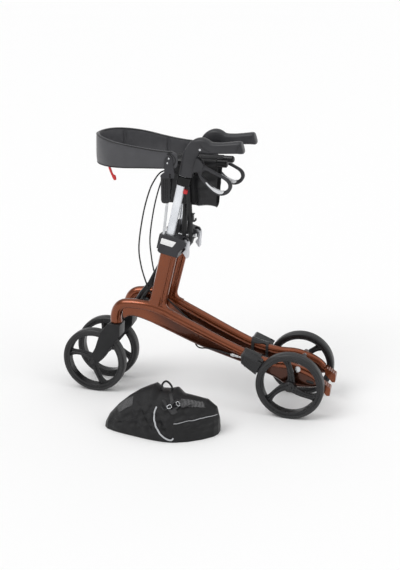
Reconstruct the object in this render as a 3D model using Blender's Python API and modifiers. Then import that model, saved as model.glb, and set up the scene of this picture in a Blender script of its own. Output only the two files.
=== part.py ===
# Folding carbon rollator, shown folded, with its bag taken off and set down beside it.
# Metres. +X is towards the user, -X is the front, +Z is up, the floor is z = 0.
# The mid plane is y = 0. The left side frame is at -Y. Left pieces are built, then mirrored.

from math import asin, atan2, cos, hypot, pi, radians, sin, sqrt, tan

import bmesh
import bpy
import numpy as np
from mathutils import Matrix, Vector

# Stance and wheels
HALF_WHEELBASE = 0.3075
WHEEL_RADIUS = 0.100
TYRE_WIDTH = 0.032
TYRE_DEPTH = 0.0175
TYRE_STEPS = 24
RIM_DEPTH = 0.0075
HUB_RADIUS = 0.0165
REAR_WHEEL_Y = 0.090
CASTER_Y = 0.058
CASTER_TRAIL = 0.073
CASTER_STEM_RADIUS = 0.0065
AXLE_RADIUS = 0.0055
AXLE_HEAD_RADIUS = 0.0095
AXLE_HEAD_LENGTH = 0.0028
WHEEL_TURNS = {"front_left": -48, "front_right": 38, "rear_left": 21, "rear_right": -14}

# Side frame
POST_FOOT_Y = 0.052
SIDE_LEAN = 0.046
LEAN_FOOT_Z = 0.25
SHOULDER_Y = 0.0605
BEAM_Y = 0.0505
TAIL_Y = 0.0608
POST_RAKE = radians(13.64)
POST_AXIS_X = -0.0659
POST_AXIS_Z = 0.4879
POST_FRONT = 0.0170
POST_REAR = 0.0345
POST_HALF_WIDTH = 0.0165
POST_TOP_Z = 0.482
POST_FOOT_FRONT_Z = 0.302
POST_FOOT_REAR_Z = 0.282
MAIN_TUBE_RADIUS = 0.0155
WEB_HALF_THICKNESS = 0.0120
HEAD_BOTTOM_Z = 0.2305
TAIL_END_X = 0.388

# Height tube, handle and its fittings
TUBE_HALF_X = 0.0116
TUBE_HALF_Y = 0.0100
TUBE_TOP_Z = 0.7465
TUBE_BOTTOM_Z = 0.402
SLIDE_DOWN = 0.090
SLIDE_UP = 0.050
SLEEVE_BOTTOM_Z = 0.6928
SLEEVE_OFFSET = 0.0068
SLEEVE_HALF_X = 0.0203
SLEEVE_HALF_Y = 0.0155
COLLAR_HEIGHT = 0.0275
BUTTON_TRAVEL = 0.003
BUTTON_RISE = 0.1682
BUTTON_HALF_HEIGHT = 0.0070
LEVER_PIVOT = (0.0321, 0.7228)
LEVER_HALF_THICKNESS = 0.0055
LEVER_EYE_RADIUS = 0.0098
LEVER_RANGE = 15

# Shallow strip for the height scale, let into each tube's outer side
SCALE_HALF_WIDTH = 0.0050
SCALE_DEPTH = 0.0005
SCALE_BOTTOM_Z = 0.530
SCALE_TOP_Z = 0.655
SCALE_DRAFT = 0.0006

# Clamp
CLAMP_HALF_WIDTH = 0.0215
CLAMP_LEVER_PIVOT = (0.045, 0.016)
CLAMP_LEVER_HALF_WIDTH = 0.0110
CLAMP_NOTCH_RADIUS = 0.0162

# Fold: two equal arms crossing at their middles, all their hinges along X
PIVOT_HALF_SPAN = 0.037
PIVOT_Z = 0.276
RAIL_Z = 0.725
RAIL_RADIUS = 0.010
RAIL_FRONT_X = -0.1035
RAIL_REAR_X = 0.103
FOLD_ANGLE = radians(45.0)
BRACE_RADIUS = 0.008
BRACE_FOOT_X = -0.178
BRACE_TOP_X = -0.0265
BRACE_OFFSET = 0.0103
CROSS_PIN_RADIUS = 0.004
FOOT_PIN_RADIUS = 0.004
FOOT_EYE_RADIUS = 0.0080
FOOT_EYE_HALF_LENGTH = 0.0085

# Seat cloth and backrest band
CLOTH_THICKNESS = 0.0020
CLOTH_FRONT_X = -0.088
CLOTH_REAR_X = 0.0715
CLOTH_REAR_SLANT = 0.009
CLOTH_BOTTOM_Z = 0.590
BAND_HALF_WIDTH = 0.0932
BAND_FRONT_RADIUS = 0.1110
BAND_THICKNESS = 0.0125
BAND_END_X = -0.026
BAND_CENTRE_X = -0.1785
BAND_TOP_FRONT_Z = 0.7965
BAND_TOP_END_Z = 0.764
BAND_BOTTOM_FRONT_Z = 0.7105
BAND_BOTTOM_END_Z = 0.7155
PULL_TAB_SHARE = 0.303
BRACKET_THICKNESS = 0.004
COLUMN_HALF_WIDTH = 0.012
COLUMN_Y = 0.078
BACKREST_ROD_RADIUS = 0.004
ROD_FOOT_Z = 0.5172
ROD_TOP_Z = 0.6680

# Brake
CABLE_RADIUS = 0.0022
COVER_FRONT_X = 0.1625
COVER_OUTER_Y = 0.098
COVER_FIT = 0.0008
COVER_WALL = 0.0030
SHOE_GAP = 0.0032
SHOE_Y = (0.0830, 0.0950)
SHOE_RADIUS = 0.1135
SHOE_HINGE_RADIUS = 0.1080
SHOE_START = 146
SHOE_END = 162

# Running gap between a moving piece and its seat, and between pieces that touch
RUN_GAP = 0.0004
SEAT_GAP = 0.0003

SWIVEL_X = CASTER_TRAIL - HALF_WHEELBASE
ARM_LENGTH = hypot(2 * PIVOT_HALF_SPAN, RAIL_Z - PIVOT_Z)
ARM_ANGLE = asin(2 * PIVOT_HALF_SPAN / ARM_LENGTH)
CROSS_Z = (PIVOT_Z + RAIL_Z) / 2


# Scene, collections and materials


def start_scene():
    for old in list(bpy.data.objects):
        bpy.data.objects.remove(old, do_unlink=True)
    for old in list(bpy.data.collections):
        bpy.data.collections.remove(old)
    made = []
    for name in ("carbon_rollator", "construction_helpers"):
        collection = bpy.data.collections.new(name)
        bpy.context.scene.collection.children.link(collection)
        made.append(collection)
    return made


PARTS, HELPERS = start_scene()

FINISHES = {
    "copper_paint": ((0.33, 0.105, 0.030), 0.22, 0.75),
    "black_plastic": ((0.022, 0.022, 0.025), 0.42, 0.0),
    "grey_plastic": ((0.065, 0.068, 0.078), 0.45, 0.0),
    "gloss_black": ((0.008, 0.008, 0.009), 0.12, 0.0),
    "tyre_rubber": ((0.030, 0.030, 0.033), 0.75, 0.0),
    "brushed_aluminium": ((0.70, 0.71, 0.74), 0.32, 1.0),
    "zinc_steel": ((0.62, 0.62, 0.64), 0.25, 1.0),
    "black_steel": ((0.018, 0.018, 0.020), 0.30, 0.3),
    "grip_rubber": ((0.050, 0.050, 0.056), 0.55, 0.0),
    "red_plastic": ((0.55, 0.015, 0.025), 0.35, 0.0),
    "black_leather": ((0.028, 0.029, 0.032), 0.40, 0.0),
    "seat_fabric": ((0.020, 0.020, 0.022), 0.80, 0.0),
    "bag_fabric": ((0.016, 0.016, 0.018), 0.85, 0.0),
    "cable_jacket": ((0.012, 0.012, 0.014), 0.35, 0.0),
}


def finish_of(name):
    material = bpy.data.materials.get(name)
    if material:
        return material
    colour, roughness, metallic = FINISHES[name]
    material = bpy.data.materials.new(name)
    material.use_nodes = True
    shader = material.node_tree.nodes["Principled BSDF"]
    shader.inputs["Base Color"].default_value = (*colour, 1.0)
    shader.inputs["Roughness"].default_value = roughness
    shader.inputs["Metallic"].default_value = metallic
    material.diffuse_color = (*colour, 1.0)
    return material


# Building blocks


def place(data, name, helper=False):
    obj = bpy.data.objects.new(name, data)
    (HELPERS if helper else PARTS).objects.link(obj)
    if helper:
        obj.hide_render = True
        obj.display_type = "WIRE"
    return obj


def mesh_object(name, work, helper=False):
    """Object from a bmesh, with its faces turned outwards."""
    bmesh.ops.recalc_face_normals(work, faces=work.faces)
    data = bpy.data.meshes.new(name)
    work.to_mesh(data)
    work.free()
    return place(data, name, helper)


def evaluated_mesh(obj, weld=2e-5):
    """The object's mesh in world space with its modifiers applied and its caps welded."""
    bpy.context.view_layer.update()
    graph = bpy.context.evaluated_depsgraph_get()
    data = bpy.data.meshes.new_from_object(obj.evaluated_get(graph))
    data.transform(obj.matrix_world)
    work = bmesh.new()
    work.from_mesh(data)
    bmesh.ops.remove_doubles(work, verts=work.verts, dist=weld)
    bmesh.ops.recalc_face_normals(work, faces=work.faces)
    work.to_mesh(data)
    work.free()
    return data


def made_mesh(obj, helper=False):
    """Swaps an object for the mesh that its curve or its modifiers make."""
    name = obj.name
    data = evaluated_mesh(obj)
    bpy.data.objects.remove(obj, do_unlink=True)
    data.name = name
    return place(data, name, helper)


def boolean(obj, tool, operation):
    """Cuts or joins a mesh with a helper, then keeps the result as the object's own mesh."""
    modifier = obj.modifiers.new(operation.lower(), "BOOLEAN")
    modifier.operation = operation
    modifier.solver = "EXACT"
    modifier.object = tool
    return made_mesh(obj)


def cut(obj, *tools):
    for tool in tools:
        obj = boolean(obj, tool, "DIFFERENCE")
    return obj


def join(obj, *tools):
    for tool in tools:
        obj = boolean(obj, tool, "UNION")
    return obj


def loft(name, rings, helper=False):
    """Closed skin through rings of equally many points, with a flat cap at each end."""
    work = bmesh.new()
    rows = [[work.verts.new(point) for point in ring] for ring in rings]
    count = len(rows[0])
    for below, above in zip(rows, rows[1:]):
        for i in range(count):
            j = (i + 1) % count
            work.faces.new((below[i], below[j], above[j], above[i]))
    work.faces.new(rows[0])
    work.faces.new(rows[-1])
    return mesh_object(name, work, helper)


def rounded(half_x, half_y, points=14, power=3.0):
    """Points of a soft rectangle, as (x, y) pairs round its centre."""
    found = []
    for i in range(points):
        a = 2 * pi * (i + 0.5) / points
        c, s = cos(a), sin(a)
        found.append(
            (
                half_x * abs(c) ** (2 / power) * (1 if c >= 0 else -1),
                half_y * abs(s) ** (2 / power) * (1 if s >= 0 else -1),
            )
        )
    return found


def box(name, low, high, helper=False):
    work = bmesh.new()
    bmesh.ops.create_cube(work, size=1.0)
    size = Vector(high) - Vector(low)
    bmesh.ops.transform(
        work,
        matrix=Matrix.Translation((Vector(high) + Vector(low)) / 2)
        @ Matrix.Diagonal((*size, 1.0)),
        verts=work.verts,
    )
    return mesh_object(name, work, helper)


def cylinder(name, start, end, radius, segments=16, helper=False, end_radius=None):
    """Round bar or cone from one point to another."""
    start, end = Vector(start), Vector(end)
    work = bmesh.new()
    bmesh.ops.create_cone(
        work,
        cap_ends=True,
        segments=segments,
        radius1=radius,
        radius2=radius if end_radius is None else end_radius,
        depth=(end - start).length,
    )
    turn = (end - start).to_track_quat("Z", "Y").to_matrix().to_4x4()
    bmesh.ops.transform(
        work, matrix=Matrix.Translation((start + end) / 2) @ turn, verts=work.verts
    )
    return mesh_object(name, work, helper)


def turned(name, profile, centre, steps, helper=False):
    """Profile of (radius, along Y) pairs turned about the axis along Y through a point."""
    data = bpy.data.meshes.new(name)
    data.from_pydata(
        [(radius, 0.0, along) for radius, along in profile],
        [(i, i + 1) for i in range(len(profile) - 1)],
        [],
    )
    obj = place(data, name)
    screw = obj.modifiers.new("turn", "SCREW")
    screw.axis = "Z"
    screw.steps = screw.render_steps = steps
    screw.use_merge_vertices = True
    screw.merge_threshold = 1e-5
    obj.rotation_euler = (-pi / 2, 0.0, 0.0)
    obj.location = centre
    return made_mesh(obj, helper)


def closed_profile(points):
    """A profile whose last point meets its first, for a ring."""
    return [*points, points[0]]


def outline(name, loops, half, bevel=0.0, smooth=True, resolution=2, steps=1, helper=False):
    """Flat outline in the XZ plane, from loops of (x, z), given a thickness along Y and soft edges."""
    curve = bpy.data.curves.new(name, "CURVE")
    curve.dimensions = "2D"
    curve.fill_mode = "BOTH"
    curve.resolution_u = resolution
    curve.extrude = half - bevel
    curve.bevel_depth = bevel
    curve.bevel_resolution = steps
    curve.offset = -bevel
    for loop in loops:
        spline = curve.splines.new("BEZIER" if smooth else "POLY")
        points = spline.bezier_points if smooth else spline.points
        points.add(len(loop) - 1)
        for point, (x, z) in zip(points, loop):
            point.co = (x, z, 0.0) if smooth else (x, z, 0.0, 1.0)
            if smooth:
                point.handle_left_type = point.handle_right_type = "AUTO"
        spline.use_cyclic_u = True
    obj = place(curve, name)
    obj.rotation_euler = (pi / 2, 0.0, 0.0)
    return made_mesh(obj, helper)


def moved(obj, x=0.0, y=0.0, z=0.0):
    obj.data.transform(Matrix.Translation((x, y, z)))
    return obj


def bar(name, points, radii, sides=2, resolution=2, helper=False):
    """Round bar along a smooth line through (x, y, z) points, its radius given at each."""
    curve = bpy.data.curves.new(name, "CURVE")
    curve.dimensions = "3D"
    curve.resolution_u = resolution
    curve.bevel_depth = 1.0
    curve.bevel_resolution = sides
    curve.use_fill_caps = True
    spline = curve.splines.new("BEZIER")
    spline.bezier_points.add(len(points) - 1)
    for point, place_at, radius in zip(spline.bezier_points, points, radii):
        point.co = place_at
        point.radius = radius
        point.handle_left_type = point.handle_right_type = "AUTO"
    return made_mesh(place(curve, name), helper)


def smooth_line(points, spacing):
    """Evenly spaced points on a smooth curve through the given ones."""
    knots = np.array(points, float)
    ends = np.vstack([2 * knots[0] - knots[1], knots, 2 * knots[-1] - knots[-2]])
    dense = []
    for i in range(1, len(ends) - 2):
        p0, p1, p2, p3 = ends[i - 1 : i + 3]
        t = np.linspace(0, 1, 24, endpoint=False)[:, None]
        dense.append(
            0.5
            * (
                2 * p1
                + (p2 - p0) * t
                + (2 * p0 - 5 * p1 + 4 * p2 - p3) * t**2
                + (3 * p1 - p0 - 3 * p2 + p3) * t**3
            )
        )
    dense = np.vstack([*dense, knots[-1:]])
    run = np.concatenate([[0], np.cumsum(np.linalg.norm(np.diff(dense, axis=0), axis=1))])
    count = max(2, round(run[-1] / spacing) + 1)
    at = np.linspace(0, run[-1], count)
    return np.stack([np.interp(at, run, dense[:, k]) for k in range(3)], axis=1)


# Lines that several pieces share


def post_x(z):
    """X of the post's and height tube's axis at a height."""
    return POST_AXIS_X + (z - POST_AXIS_Z) * tan(POST_RAKE)


def post_y(z):
    """Distance of the post's axis from y = 0: each side leans outwards as it rises."""
    return POST_FOOT_Y + SIDE_LEAN * (z - LEAN_FOOT_Z)


def raked(b, a):
    """(x, z) of a point b behind and a above the clamp's centre, square to the post."""
    return (
        POST_AXIS_X + b * cos(POST_RAKE) + a * sin(POST_RAKE),
        POST_AXIS_Z - b * sin(POST_RAKE) + a * cos(POST_RAKE),
    )


CLAMP_Y = post_y(POST_AXIS_Z)
LEVER_Y = post_y(LEVER_PIVOT[1])
BUTTON_Y = post_y(POST_AXIS_Z + BUTTON_RISE * cos(POST_RAKE))

FRAME_BENDS_X = [SWIVEL_X, -0.14, -0.06, 0.16, HALF_WHEELBASE, TAIL_END_X]
FRAME_BENDS_Y = [CASTER_Y, SHOULDER_Y, POST_FOOT_Y, BEAM_Y, TAIL_Y, TAIL_Y]


def frame_y(x, z):
    """Distance of the side frame's leaning middle plane from y = 0, drawn in between head and tail."""
    return float(np.interp(x, FRAME_BENDS_X, FRAME_BENDS_Y)) + SIDE_LEAN * (z - LEAN_FOOT_Z)


def brace_x(z):
    """X of a brace's middle at a height: straight from the foot, then bent upright."""
    return float(
        np.interp(
            z,
            [PIVOT_Z, PIVOT_Z + 0.014, 0.35, 0.405, 0.445, 0.472, CROSS_Z - 0.008, RAIL_Z],
            [BRACE_FOOT_X, BRACE_FOOT_X, -0.134, -0.100, -0.063, -0.036, BRACE_TOP_X, BRACE_TOP_X],
        )
    )


# Side frame: a moulded main tube from caster head to tail, a web under it and a post on top

MAIN_LINE = [
    (SWIVEL_X, HEAD_BOTTOM_Z - 0.006, 0.0178),
    (SWIVEL_X + 0.0005, 0.250, 0.0172),
    (-0.2267, 0.2732, 0.0166),
    (-0.2118, 0.2882, 0.0160),
    (-0.1892, 0.2933, MAIN_TUBE_RADIUS),
    (-0.1569, 0.2936, MAIN_TUBE_RADIUS),
    (-0.1224, 0.2899, MAIN_TUBE_RADIUS),
    (-0.0918, 0.2797, MAIN_TUBE_RADIUS),
    (-0.0593, 0.2642, 0.0150),
    (0.0198, 0.2287, 0.0146),
    (0.0833, 0.2001, 0.0140),
    (0.1549, 0.1704, 0.0134),
    (0.2044, 0.1547, 0.0130),
    (0.2487, 0.1473, 0.0125),
    (0.2949, 0.1468, 0.0120),
    (0.3343, 0.1382, 0.0115),
    (0.3643, 0.1254, 0.0108),
    (0.3843, 0.1088, 0.0104),
]

WEB_UNDERSIDE = [
    (-0.2077, 0.2433),
    (-0.1865, 0.2535),
    (-0.1615, 0.2514),
    (-0.1255, 0.2406),
    (-0.0516, 0.2072),
    (0.0257, 0.1766),
    (0.0919, 0.1558),
    (0.1591, 0.1361),
    (0.2272, 0.1133),
    (0.2580, 0.1023),
    (0.2826, 0.0884),
    (0.3072, 0.0822),
    (0.3333, 0.0826),
    (0.3620, 0.0850),
    (0.3862, 0.0905),
]

BOLT_AT = (0.3250, 0.1446)
BOLT_RADIUS = 0.0040
GRIP_SLOT_AT = (0.3610, 0.1060)


def web_outline():
    upper = [(x, z) for x, z, _ in MAIN_LINE[::-1] if -0.215 < x < 0.39]
    return WEB_UNDERSIDE + upper


def flare(z, foot, radius):
    """How far a fillet of this radius stands out at height z, above a surface at height foot."""
    rise = min(max(foot + radius - z, 0.0), radius)
    return radius - sqrt(max(radius**2 - rise**2, 0.0))


def post_ring(z, grow=0.0):
    """Level section of the post: a soft front round the bore, a groove and a bead at the rear."""
    front = POST_FRONT + flare(z, POST_FOOT_FRONT_Z, 0.018) + grow
    rear = POST_REAR + flare(z, POST_FOOT_REAR_Z, 0.026) + grow
    half = POST_HALF_WIDTH - 0.0015 * min(1.0, max(0.0, (POST_FOOT_FRONT_Z + 0.024 - z) / 0.03)) + grow
    side = [
        (-front, 0.30),
        (-front + 0.002, 0.62),
        (-0.62 * front - 0.001, 0.90),
        (-0.25 * front, 1.0),
        (0.45 * POST_FRONT, 1.0),
        (0.0155, 0.92),
        (0.0205, 0.72),
        (0.0232, 0.58),
        (0.0258, 0.60),
        (rear - 0.0040, 0.50),
        (rear - 0.0006, 0.24),
    ]
    ring = [(x, half * s) for x, s in side] + [(x, -half * s) for x, s in side[::-1]]
    return [(post_x(z) + x, y - post_y(z), z) for x, y in ring]


def toed_in(obj):
    """Thins a flat piece to the tail and sets it on the frame's middle plane, bending only at its bends."""
    work = bmesh.new()
    work.from_mesh(obj.data)
    for x in FRAME_BENDS_X[1:-1]:
        bmesh.ops.bisect_plane(
            work,
            geom=[*work.verts, *work.edges, *work.faces],
            plane_co=(x, 0, 0),
            plane_no=(1, 0, 0),
            dist=1e-6,
        )
    work.to_mesh(obj.data)
    work.free()
    for vertex in obj.data.vertices:
        x = vertex.co.x
        thin = float(np.interp(x, [-0.2, 0.0, 0.25, TAIL_END_X], [1.0, 1.0, 0.92, 0.80]))
        vertex.co.y = vertex.co.y * thin - frame_y(x, vertex.co.z)
    return obj


def tube_ring(z, grow=0.0):
    return [
        (post_x(z) + x, y - post_y(z), z)
        for x, y in rounded(TUBE_HALF_X + grow, TUBE_HALF_Y + grow, 12, 5.0)
    ]


def side_frame():
    tube = bar(
        "side_frame_left",
        [(x, -frame_y(x, z), z) for x, z, _ in MAIN_LINE],
        [radius for _, _, radius in MAIN_LINE],
        sides=2,
        resolution=1,
    )
    web = toed_in(
        outline(
            "frame_web", [web_outline()], WEB_HALF_THICKNESS, 0.007, smooth=False, helper=True
        )
    )
    heights = [POST_TOP_Z + 0.01]
    heights += [POST_FOOT_FRONT_Z + rise for rise in (0.019, 0.009, 0.002, -0.007, -0.015)]
    post = loft("frame_post", [post_ring(z) for z in heights], helper=True)
    obj = join(tube, web, post)
    bore_bottom = TUBE_BOTTOM_Z - SLIDE_DOWN * cos(POST_RAKE) - 0.004
    tools = [
        box("head_trim", (-0.30, -0.10, 0.20), (-0.20, -0.02, HEAD_BOTTOM_Z), helper=True),
        box("tail_trim", (TAIL_END_X, -0.10, 0.05), (0.45, 0.0, 0.2), helper=True),
        post_trim(),
        loft(
            "tube_bore",
            [tube_ring(z, RUN_GAP) for z in (POST_TOP_Z + 0.03, bore_bottom)],
            helper=True,
        ),
        cylinder(
            "stem_bore",
            (SWIVEL_X, -CASTER_Y, HEAD_BOTTOM_Z - 0.02),
            (SWIVEL_X, -CASTER_Y, HEAD_BOTTOM_Z + 0.026),
            CASTER_STEM_RADIUS + RUN_GAP,
            helper=True,
        ),
        cylinder(
            "axle_bore",
            (HALF_WHEELBASE, -0.10, WHEEL_RADIUS),
            (HALF_WHEELBASE, -0.02, WHEEL_RADIUS),
            AXLE_RADIUS + RUN_GAP,
            12,
            helper=True,
        ),
        cylinder(
            "bolt_bore",
            (BOLT_AT[0], -0.10, BOLT_AT[1]),
            (BOLT_AT[0], -0.02, BOLT_AT[1]),
            BOLT_RADIUS + SEAT_GAP,
            12,
            helper=True,
        ),
        grip_slot(),
    ]
    return cut(obj, *tools)


def post_trim():
    """Square-cuts the post's top end, at a right angle to its rake."""
    low = [raked(b, a) for b, a in ((-0.05, 0.0), (0.07, 0.0), (0.07, 0.06), (-0.05, 0.06))]
    return moved(outline("post_trim", [low], 0.04, smooth=False, helper=True), y=-CLAMP_Y)


def grip_slot():
    """Long hole through the tail, in front of the pedal."""
    x, z = GRIP_SLOT_AT
    points = []
    for k in range(12):
        a = 2 * pi * k / 12 + 0.01
        shift = 0.006 if cos(a) > 0 else -0.006
        points.append((x + shift + 0.0052 * cos(a), z + 0.0042 * sin(a) - 0.25 * shift))
    return moved(outline("grip_slot", [points], 0.03, smooth=False, helper=True), y=-frame_y(x, z))


# Wheels and casters


def tyre(name, centre):
    inner = WHEEL_RADIUS - TYRE_DEPTH
    half = TYRE_WIDTH / 2
    profile = [
        (WHEEL_RADIUS, half * 0.40),
        (WHEEL_RADIUS - 0.0025, half * 0.80),
        (WHEEL_RADIUS - 0.0090, half),
        (inner, half * 0.72),
        (inner, -half * 0.72),
        (WHEEL_RADIUS - 0.0090, -half),
        (WHEEL_RADIUS - 0.0025, -half * 0.80),
        (WHEEL_RADIUS, -half * 0.40),
    ]
    return turned(name, closed_profile(profile), centre, TYRE_STEPS)


def spoke_window(index):
    """One of the three openings between the swirled spokes, as (x, z) points round the hub."""
    outer = WHEEL_RADIUS - TYRE_DEPTH - RIM_DEPTH
    start = 2 * pi * index / 3
    points = []
    for k in range(5):
        points.append((outer + 0.0015, start + radians(18 + 84 * k / 4)))
    for r, turn in ((0.055, 93), (0.036, 78), (HUB_RADIUS + 0.0075, 58)):
        points.append((r, start + radians(turn)))
    for r, turn in ((HUB_RADIUS + 0.0095, 22), (0.040, 4), (0.058, 3)):
        points.append((r, start + radians(turn)))
    return [(r * cos(a), r * sin(a)) for r, a in points]


def wheel(name, centre, turn):
    outer = WHEEL_RADIUS - TYRE_DEPTH - SEAT_GAP
    rim = [
        (outer, TYRE_WIDTH * 0.30),
        (outer - RIM_DEPTH, TYRE_WIDTH * 0.36),
        (outer - RIM_DEPTH, -TYRE_WIDTH * 0.36),
        (outer, -TYRE_WIDTH * 0.30),
    ]
    obj = turned(name, closed_profile(rim), (0, 0, 0), TYRE_STEPS)
    disc = []
    for k in range(12):
        a = 2 * pi * k / 12
        disc.append(((outer - 0.0025) * cos(a), (outer - 0.0025) * sin(a)))
    windows = [
        outline(f"wheel_window_{i}", [spoke_window(i)], 0.02, resolution=1, helper=True)
        for i in range(3)
    ]
    web = cut(outline("wheel_web", [disc], 0.0042, smooth=False), *windows)
    half = TYRE_WIDTH / 2
    hub = cylinder("wheel_hub", (0, -half, 0), (0, half, 0), HUB_RADIUS, 14, helper=True)
    bore = cylinder(
        "wheel_bore", (0, -0.05, 0), (0, 0.05, 0), AXLE_RADIUS + RUN_GAP, 10, helper=True
    )
    web.data.transform(Matrix.Rotation(turn, 4, "Y"))
    return moved(cut(join(obj, as_helper(web), hub), bore), *centre)


def as_helper(obj):
    PARTS.objects.unlink(obj)
    HELPERS.objects.link(obj)
    obj.hide_render = True
    obj.display_type = "WIRE"
    return obj


def axle(name, centre, inner, outer):
    """Bolt along Y with a domed head at each end, from y inner to y outer as seen from the axle."""
    x, y, z = centre
    head = AXLE_HEAD_LENGTH
    profile = [
        (0.0, inner),
        (AXLE_HEAD_RADIUS * 0.8, inner),
        (AXLE_HEAD_RADIUS, inner + head),
        (AXLE_RADIUS, inner + head),
        (AXLE_RADIUS, outer - head),
        (AXLE_HEAD_RADIUS, outer - head),
        (AXLE_HEAD_RADIUS * 0.8, outer),
        (0.0, outer),
    ]
    return turned(name, profile[::-1], centre, 10)


FORK_HALF_GAP = TYRE_WIDTH / 2 + 0.0035
FORK_LEG = 0.0052


def caster_fork():
    """Crown over the tyre, two tapering legs to the hub and a stem up into the frame's head."""
    hub = (-HALF_WHEELBASE, WHEEL_RADIUS)
    clear = WHEEL_RADIUS + 0.006
    crown_top = HEAD_BOTTOM_Z - SEAT_GAP - 0.0015
    side = [
        (SWIVEL_X - 0.0190, crown_top),
        (SWIVEL_X + 0.0190, crown_top),
        (SWIVEL_X + 0.0165, 0.1900),
        (SWIVEL_X - 0.0050, 0.1600),
        (hub[0] + 0.0160, hub[1] - 0.0050),
        (hub[0] + 0.0060, hub[1] - 0.0145),
        (hub[0] - 0.0085, hub[1] - 0.0120),
        (hub[0] - 0.0145, hub[1] + 0.0020),
        (hub[0] + 0.0100, 0.1450),
        (hub[0] + 0.0270, 0.1950),
    ]
    half = FORK_HALF_GAP + FORK_LEG
    obj = moved(
        outline("caster_fork_left", [side], half, 0.003, resolution=2, steps=0), y=-CASTER_Y
    )
    gap = cylinder(
        "fork_gap",
        (hub[0], -CASTER_Y - FORK_HALF_GAP, hub[1]),
        (hub[0], -CASTER_Y + FORK_HALF_GAP, hub[1]),
        clear,
        28,
        helper=True,
    )
    top = box("fork_top", (-0.30, -0.10, crown_top), (-0.15, 0.0, 0.28), helper=True)
    flat = box(
        "fork_gap_front",
        (hub[0] - 0.05, -CASTER_Y - FORK_HALF_GAP, hub[1] - 0.05),
        (hub[0] + 0.03, -CASTER_Y + FORK_HALF_GAP, hub[1] + 0.06),
        helper=True,
    )
    stem = cylinder(
        "fork_stem",
        (SWIVEL_X, -CASTER_Y, crown_top - 0.01),
        (SWIVEL_X, -CASTER_Y, HEAD_BOTTOM_Z + 0.024),
        CASTER_STEM_RADIUS,
        helper=True,
    )
    flange = cylinder(
        "fork_flange",
        (SWIVEL_X, -CASTER_Y, crown_top - 0.008),
        (SWIVEL_X, -CASTER_Y, HEAD_BOTTOM_Z - SEAT_GAP),
        0.0175,
        16,
        helper=True,
    )
    bore = cylinder(
        "fork_bore",
        (hub[0], -CASTER_Y - 0.05, hub[1]),
        (hub[0], -CASTER_Y + 0.05, hub[1]),
        AXLE_RADIUS + SEAT_GAP,
        12,
        helper=True,
    )
    return cut(join(cut(obj, gap, flat, top), flange, stem), bore)


# Height tube, handle, collar, release button and brake lever


def height_tube():
    """Flat-sided tube with a pocket for the button and a shallow strip for the height scale."""
    obj = loft("height_tube_left", [tube_ring(z) for z in (TUBE_TOP_Z, TUBE_BOTTOM_Z)])
    floor, clear = TUBE_HALF_Y - SCALE_DEPTH, TUBE_HALF_Y + 0.002
    strip = loft(
        "scale_strip",
        [
            [
                (post_x(z) - SCALE_HALF_WIDTH, -post_y(z) - floor, z),
                (post_x(z) + SCALE_HALF_WIDTH, -post_y(z) - floor, z),
                (post_x(z) + SCALE_HALF_WIDTH + SCALE_DRAFT, -post_y(z) - clear, z + draft),
                (post_x(z) - SCALE_HALF_WIDTH - SCALE_DRAFT, -post_y(z) - clear, z + draft),
            ]
            for z, draft in ((SCALE_BOTTOM_Z, -SCALE_DRAFT), (SCALE_TOP_Z, SCALE_DRAFT))
        ],
        helper=True,
    )
    return cut(obj, button_block("button_pocket", SEAT_GAP, helper=True), strip)


def button_block(name, grow, helper=False):
    """Release button: a block let into the tube's rear wall, square to its rake."""
    inner, outer = TUBE_HALF_X - 0.0055, TUBE_HALF_X + 0.0085
    b0, b1 = (inner - BUTTON_TRAVEL / 2 - grow, outer + 0.01) if grow else (inner, outer)
    low, high = BUTTON_RISE - BUTTON_HALF_HEIGHT - grow, BUTTON_RISE + BUTTON_HALF_HEIGHT + grow
    edges = [(b, low + 0.07 * (b - inner), high - 0.18 * (b - inner)) for b in (b0, b1)]
    if grow:
        edges = [(b, min(lower, low), max(upper, high)) for b, lower, upper in edges]
    (b0, low0, high0), (b1, low1, high1) = edges
    corners = [raked(b, a) for b, a in ((b0, low0), (b1, low1), (b1, high1), (b0, high0))]
    return moved(
        outline(name, [corners], 0.0045 + grow, smooth=False, helper=helper), y=-BUTTON_Y
    )


def release_button():
    obj = button_block("release_button_left", 0.0)
    shift = BUTTON_TRAVEL * 0.5
    return moved(obj, shift * cos(POST_RAKE), 0.0, -shift * sin(POST_RAKE))


def sleeve_centre(z):
    return post_x(z) + SLEEVE_OFFSET


HANDLE_LINE = [
    # x, z, tilt of the section, half height, half width
    (None, SLEEVE_BOTTOM_Z, 0, SLEEVE_HALF_X, SLEEVE_HALF_Y),
    (None, 0.7239, 0, SLEEVE_HALF_X, SLEEVE_HALF_Y + 0.0004),
    (None, 0.7490, 4, SLEEVE_HALF_X, SLEEVE_HALF_Y + 0.0010),
    (0.0127, 0.7651, 22, 0.0206, 0.0170),
    (0.0213, 0.7757, 45, 0.0210, 0.0176),
    (0.0319, 0.7817, 66, 0.0212, 0.0180),
    (0.0434, 0.7827, 79, 0.0206, 0.0182),
    (0.0548, 0.7797, 84, 0.0190, 0.0180),
    (0.0677, 0.7769, 79, 0.0155, 0.0175),
    (0.0927, 0.7769, 77, 0.0150, 0.0172),
    (0.1196, 0.7792, 76, 0.0158, 0.0175),
    (0.1416, 0.7814, 77, 0.0168, 0.0182),
    (0.1546, 0.7812, 64, 0.0170, 0.0178),
    (0.1568, 0.7810, 61, 0.0155, 0.0160),
]


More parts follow.
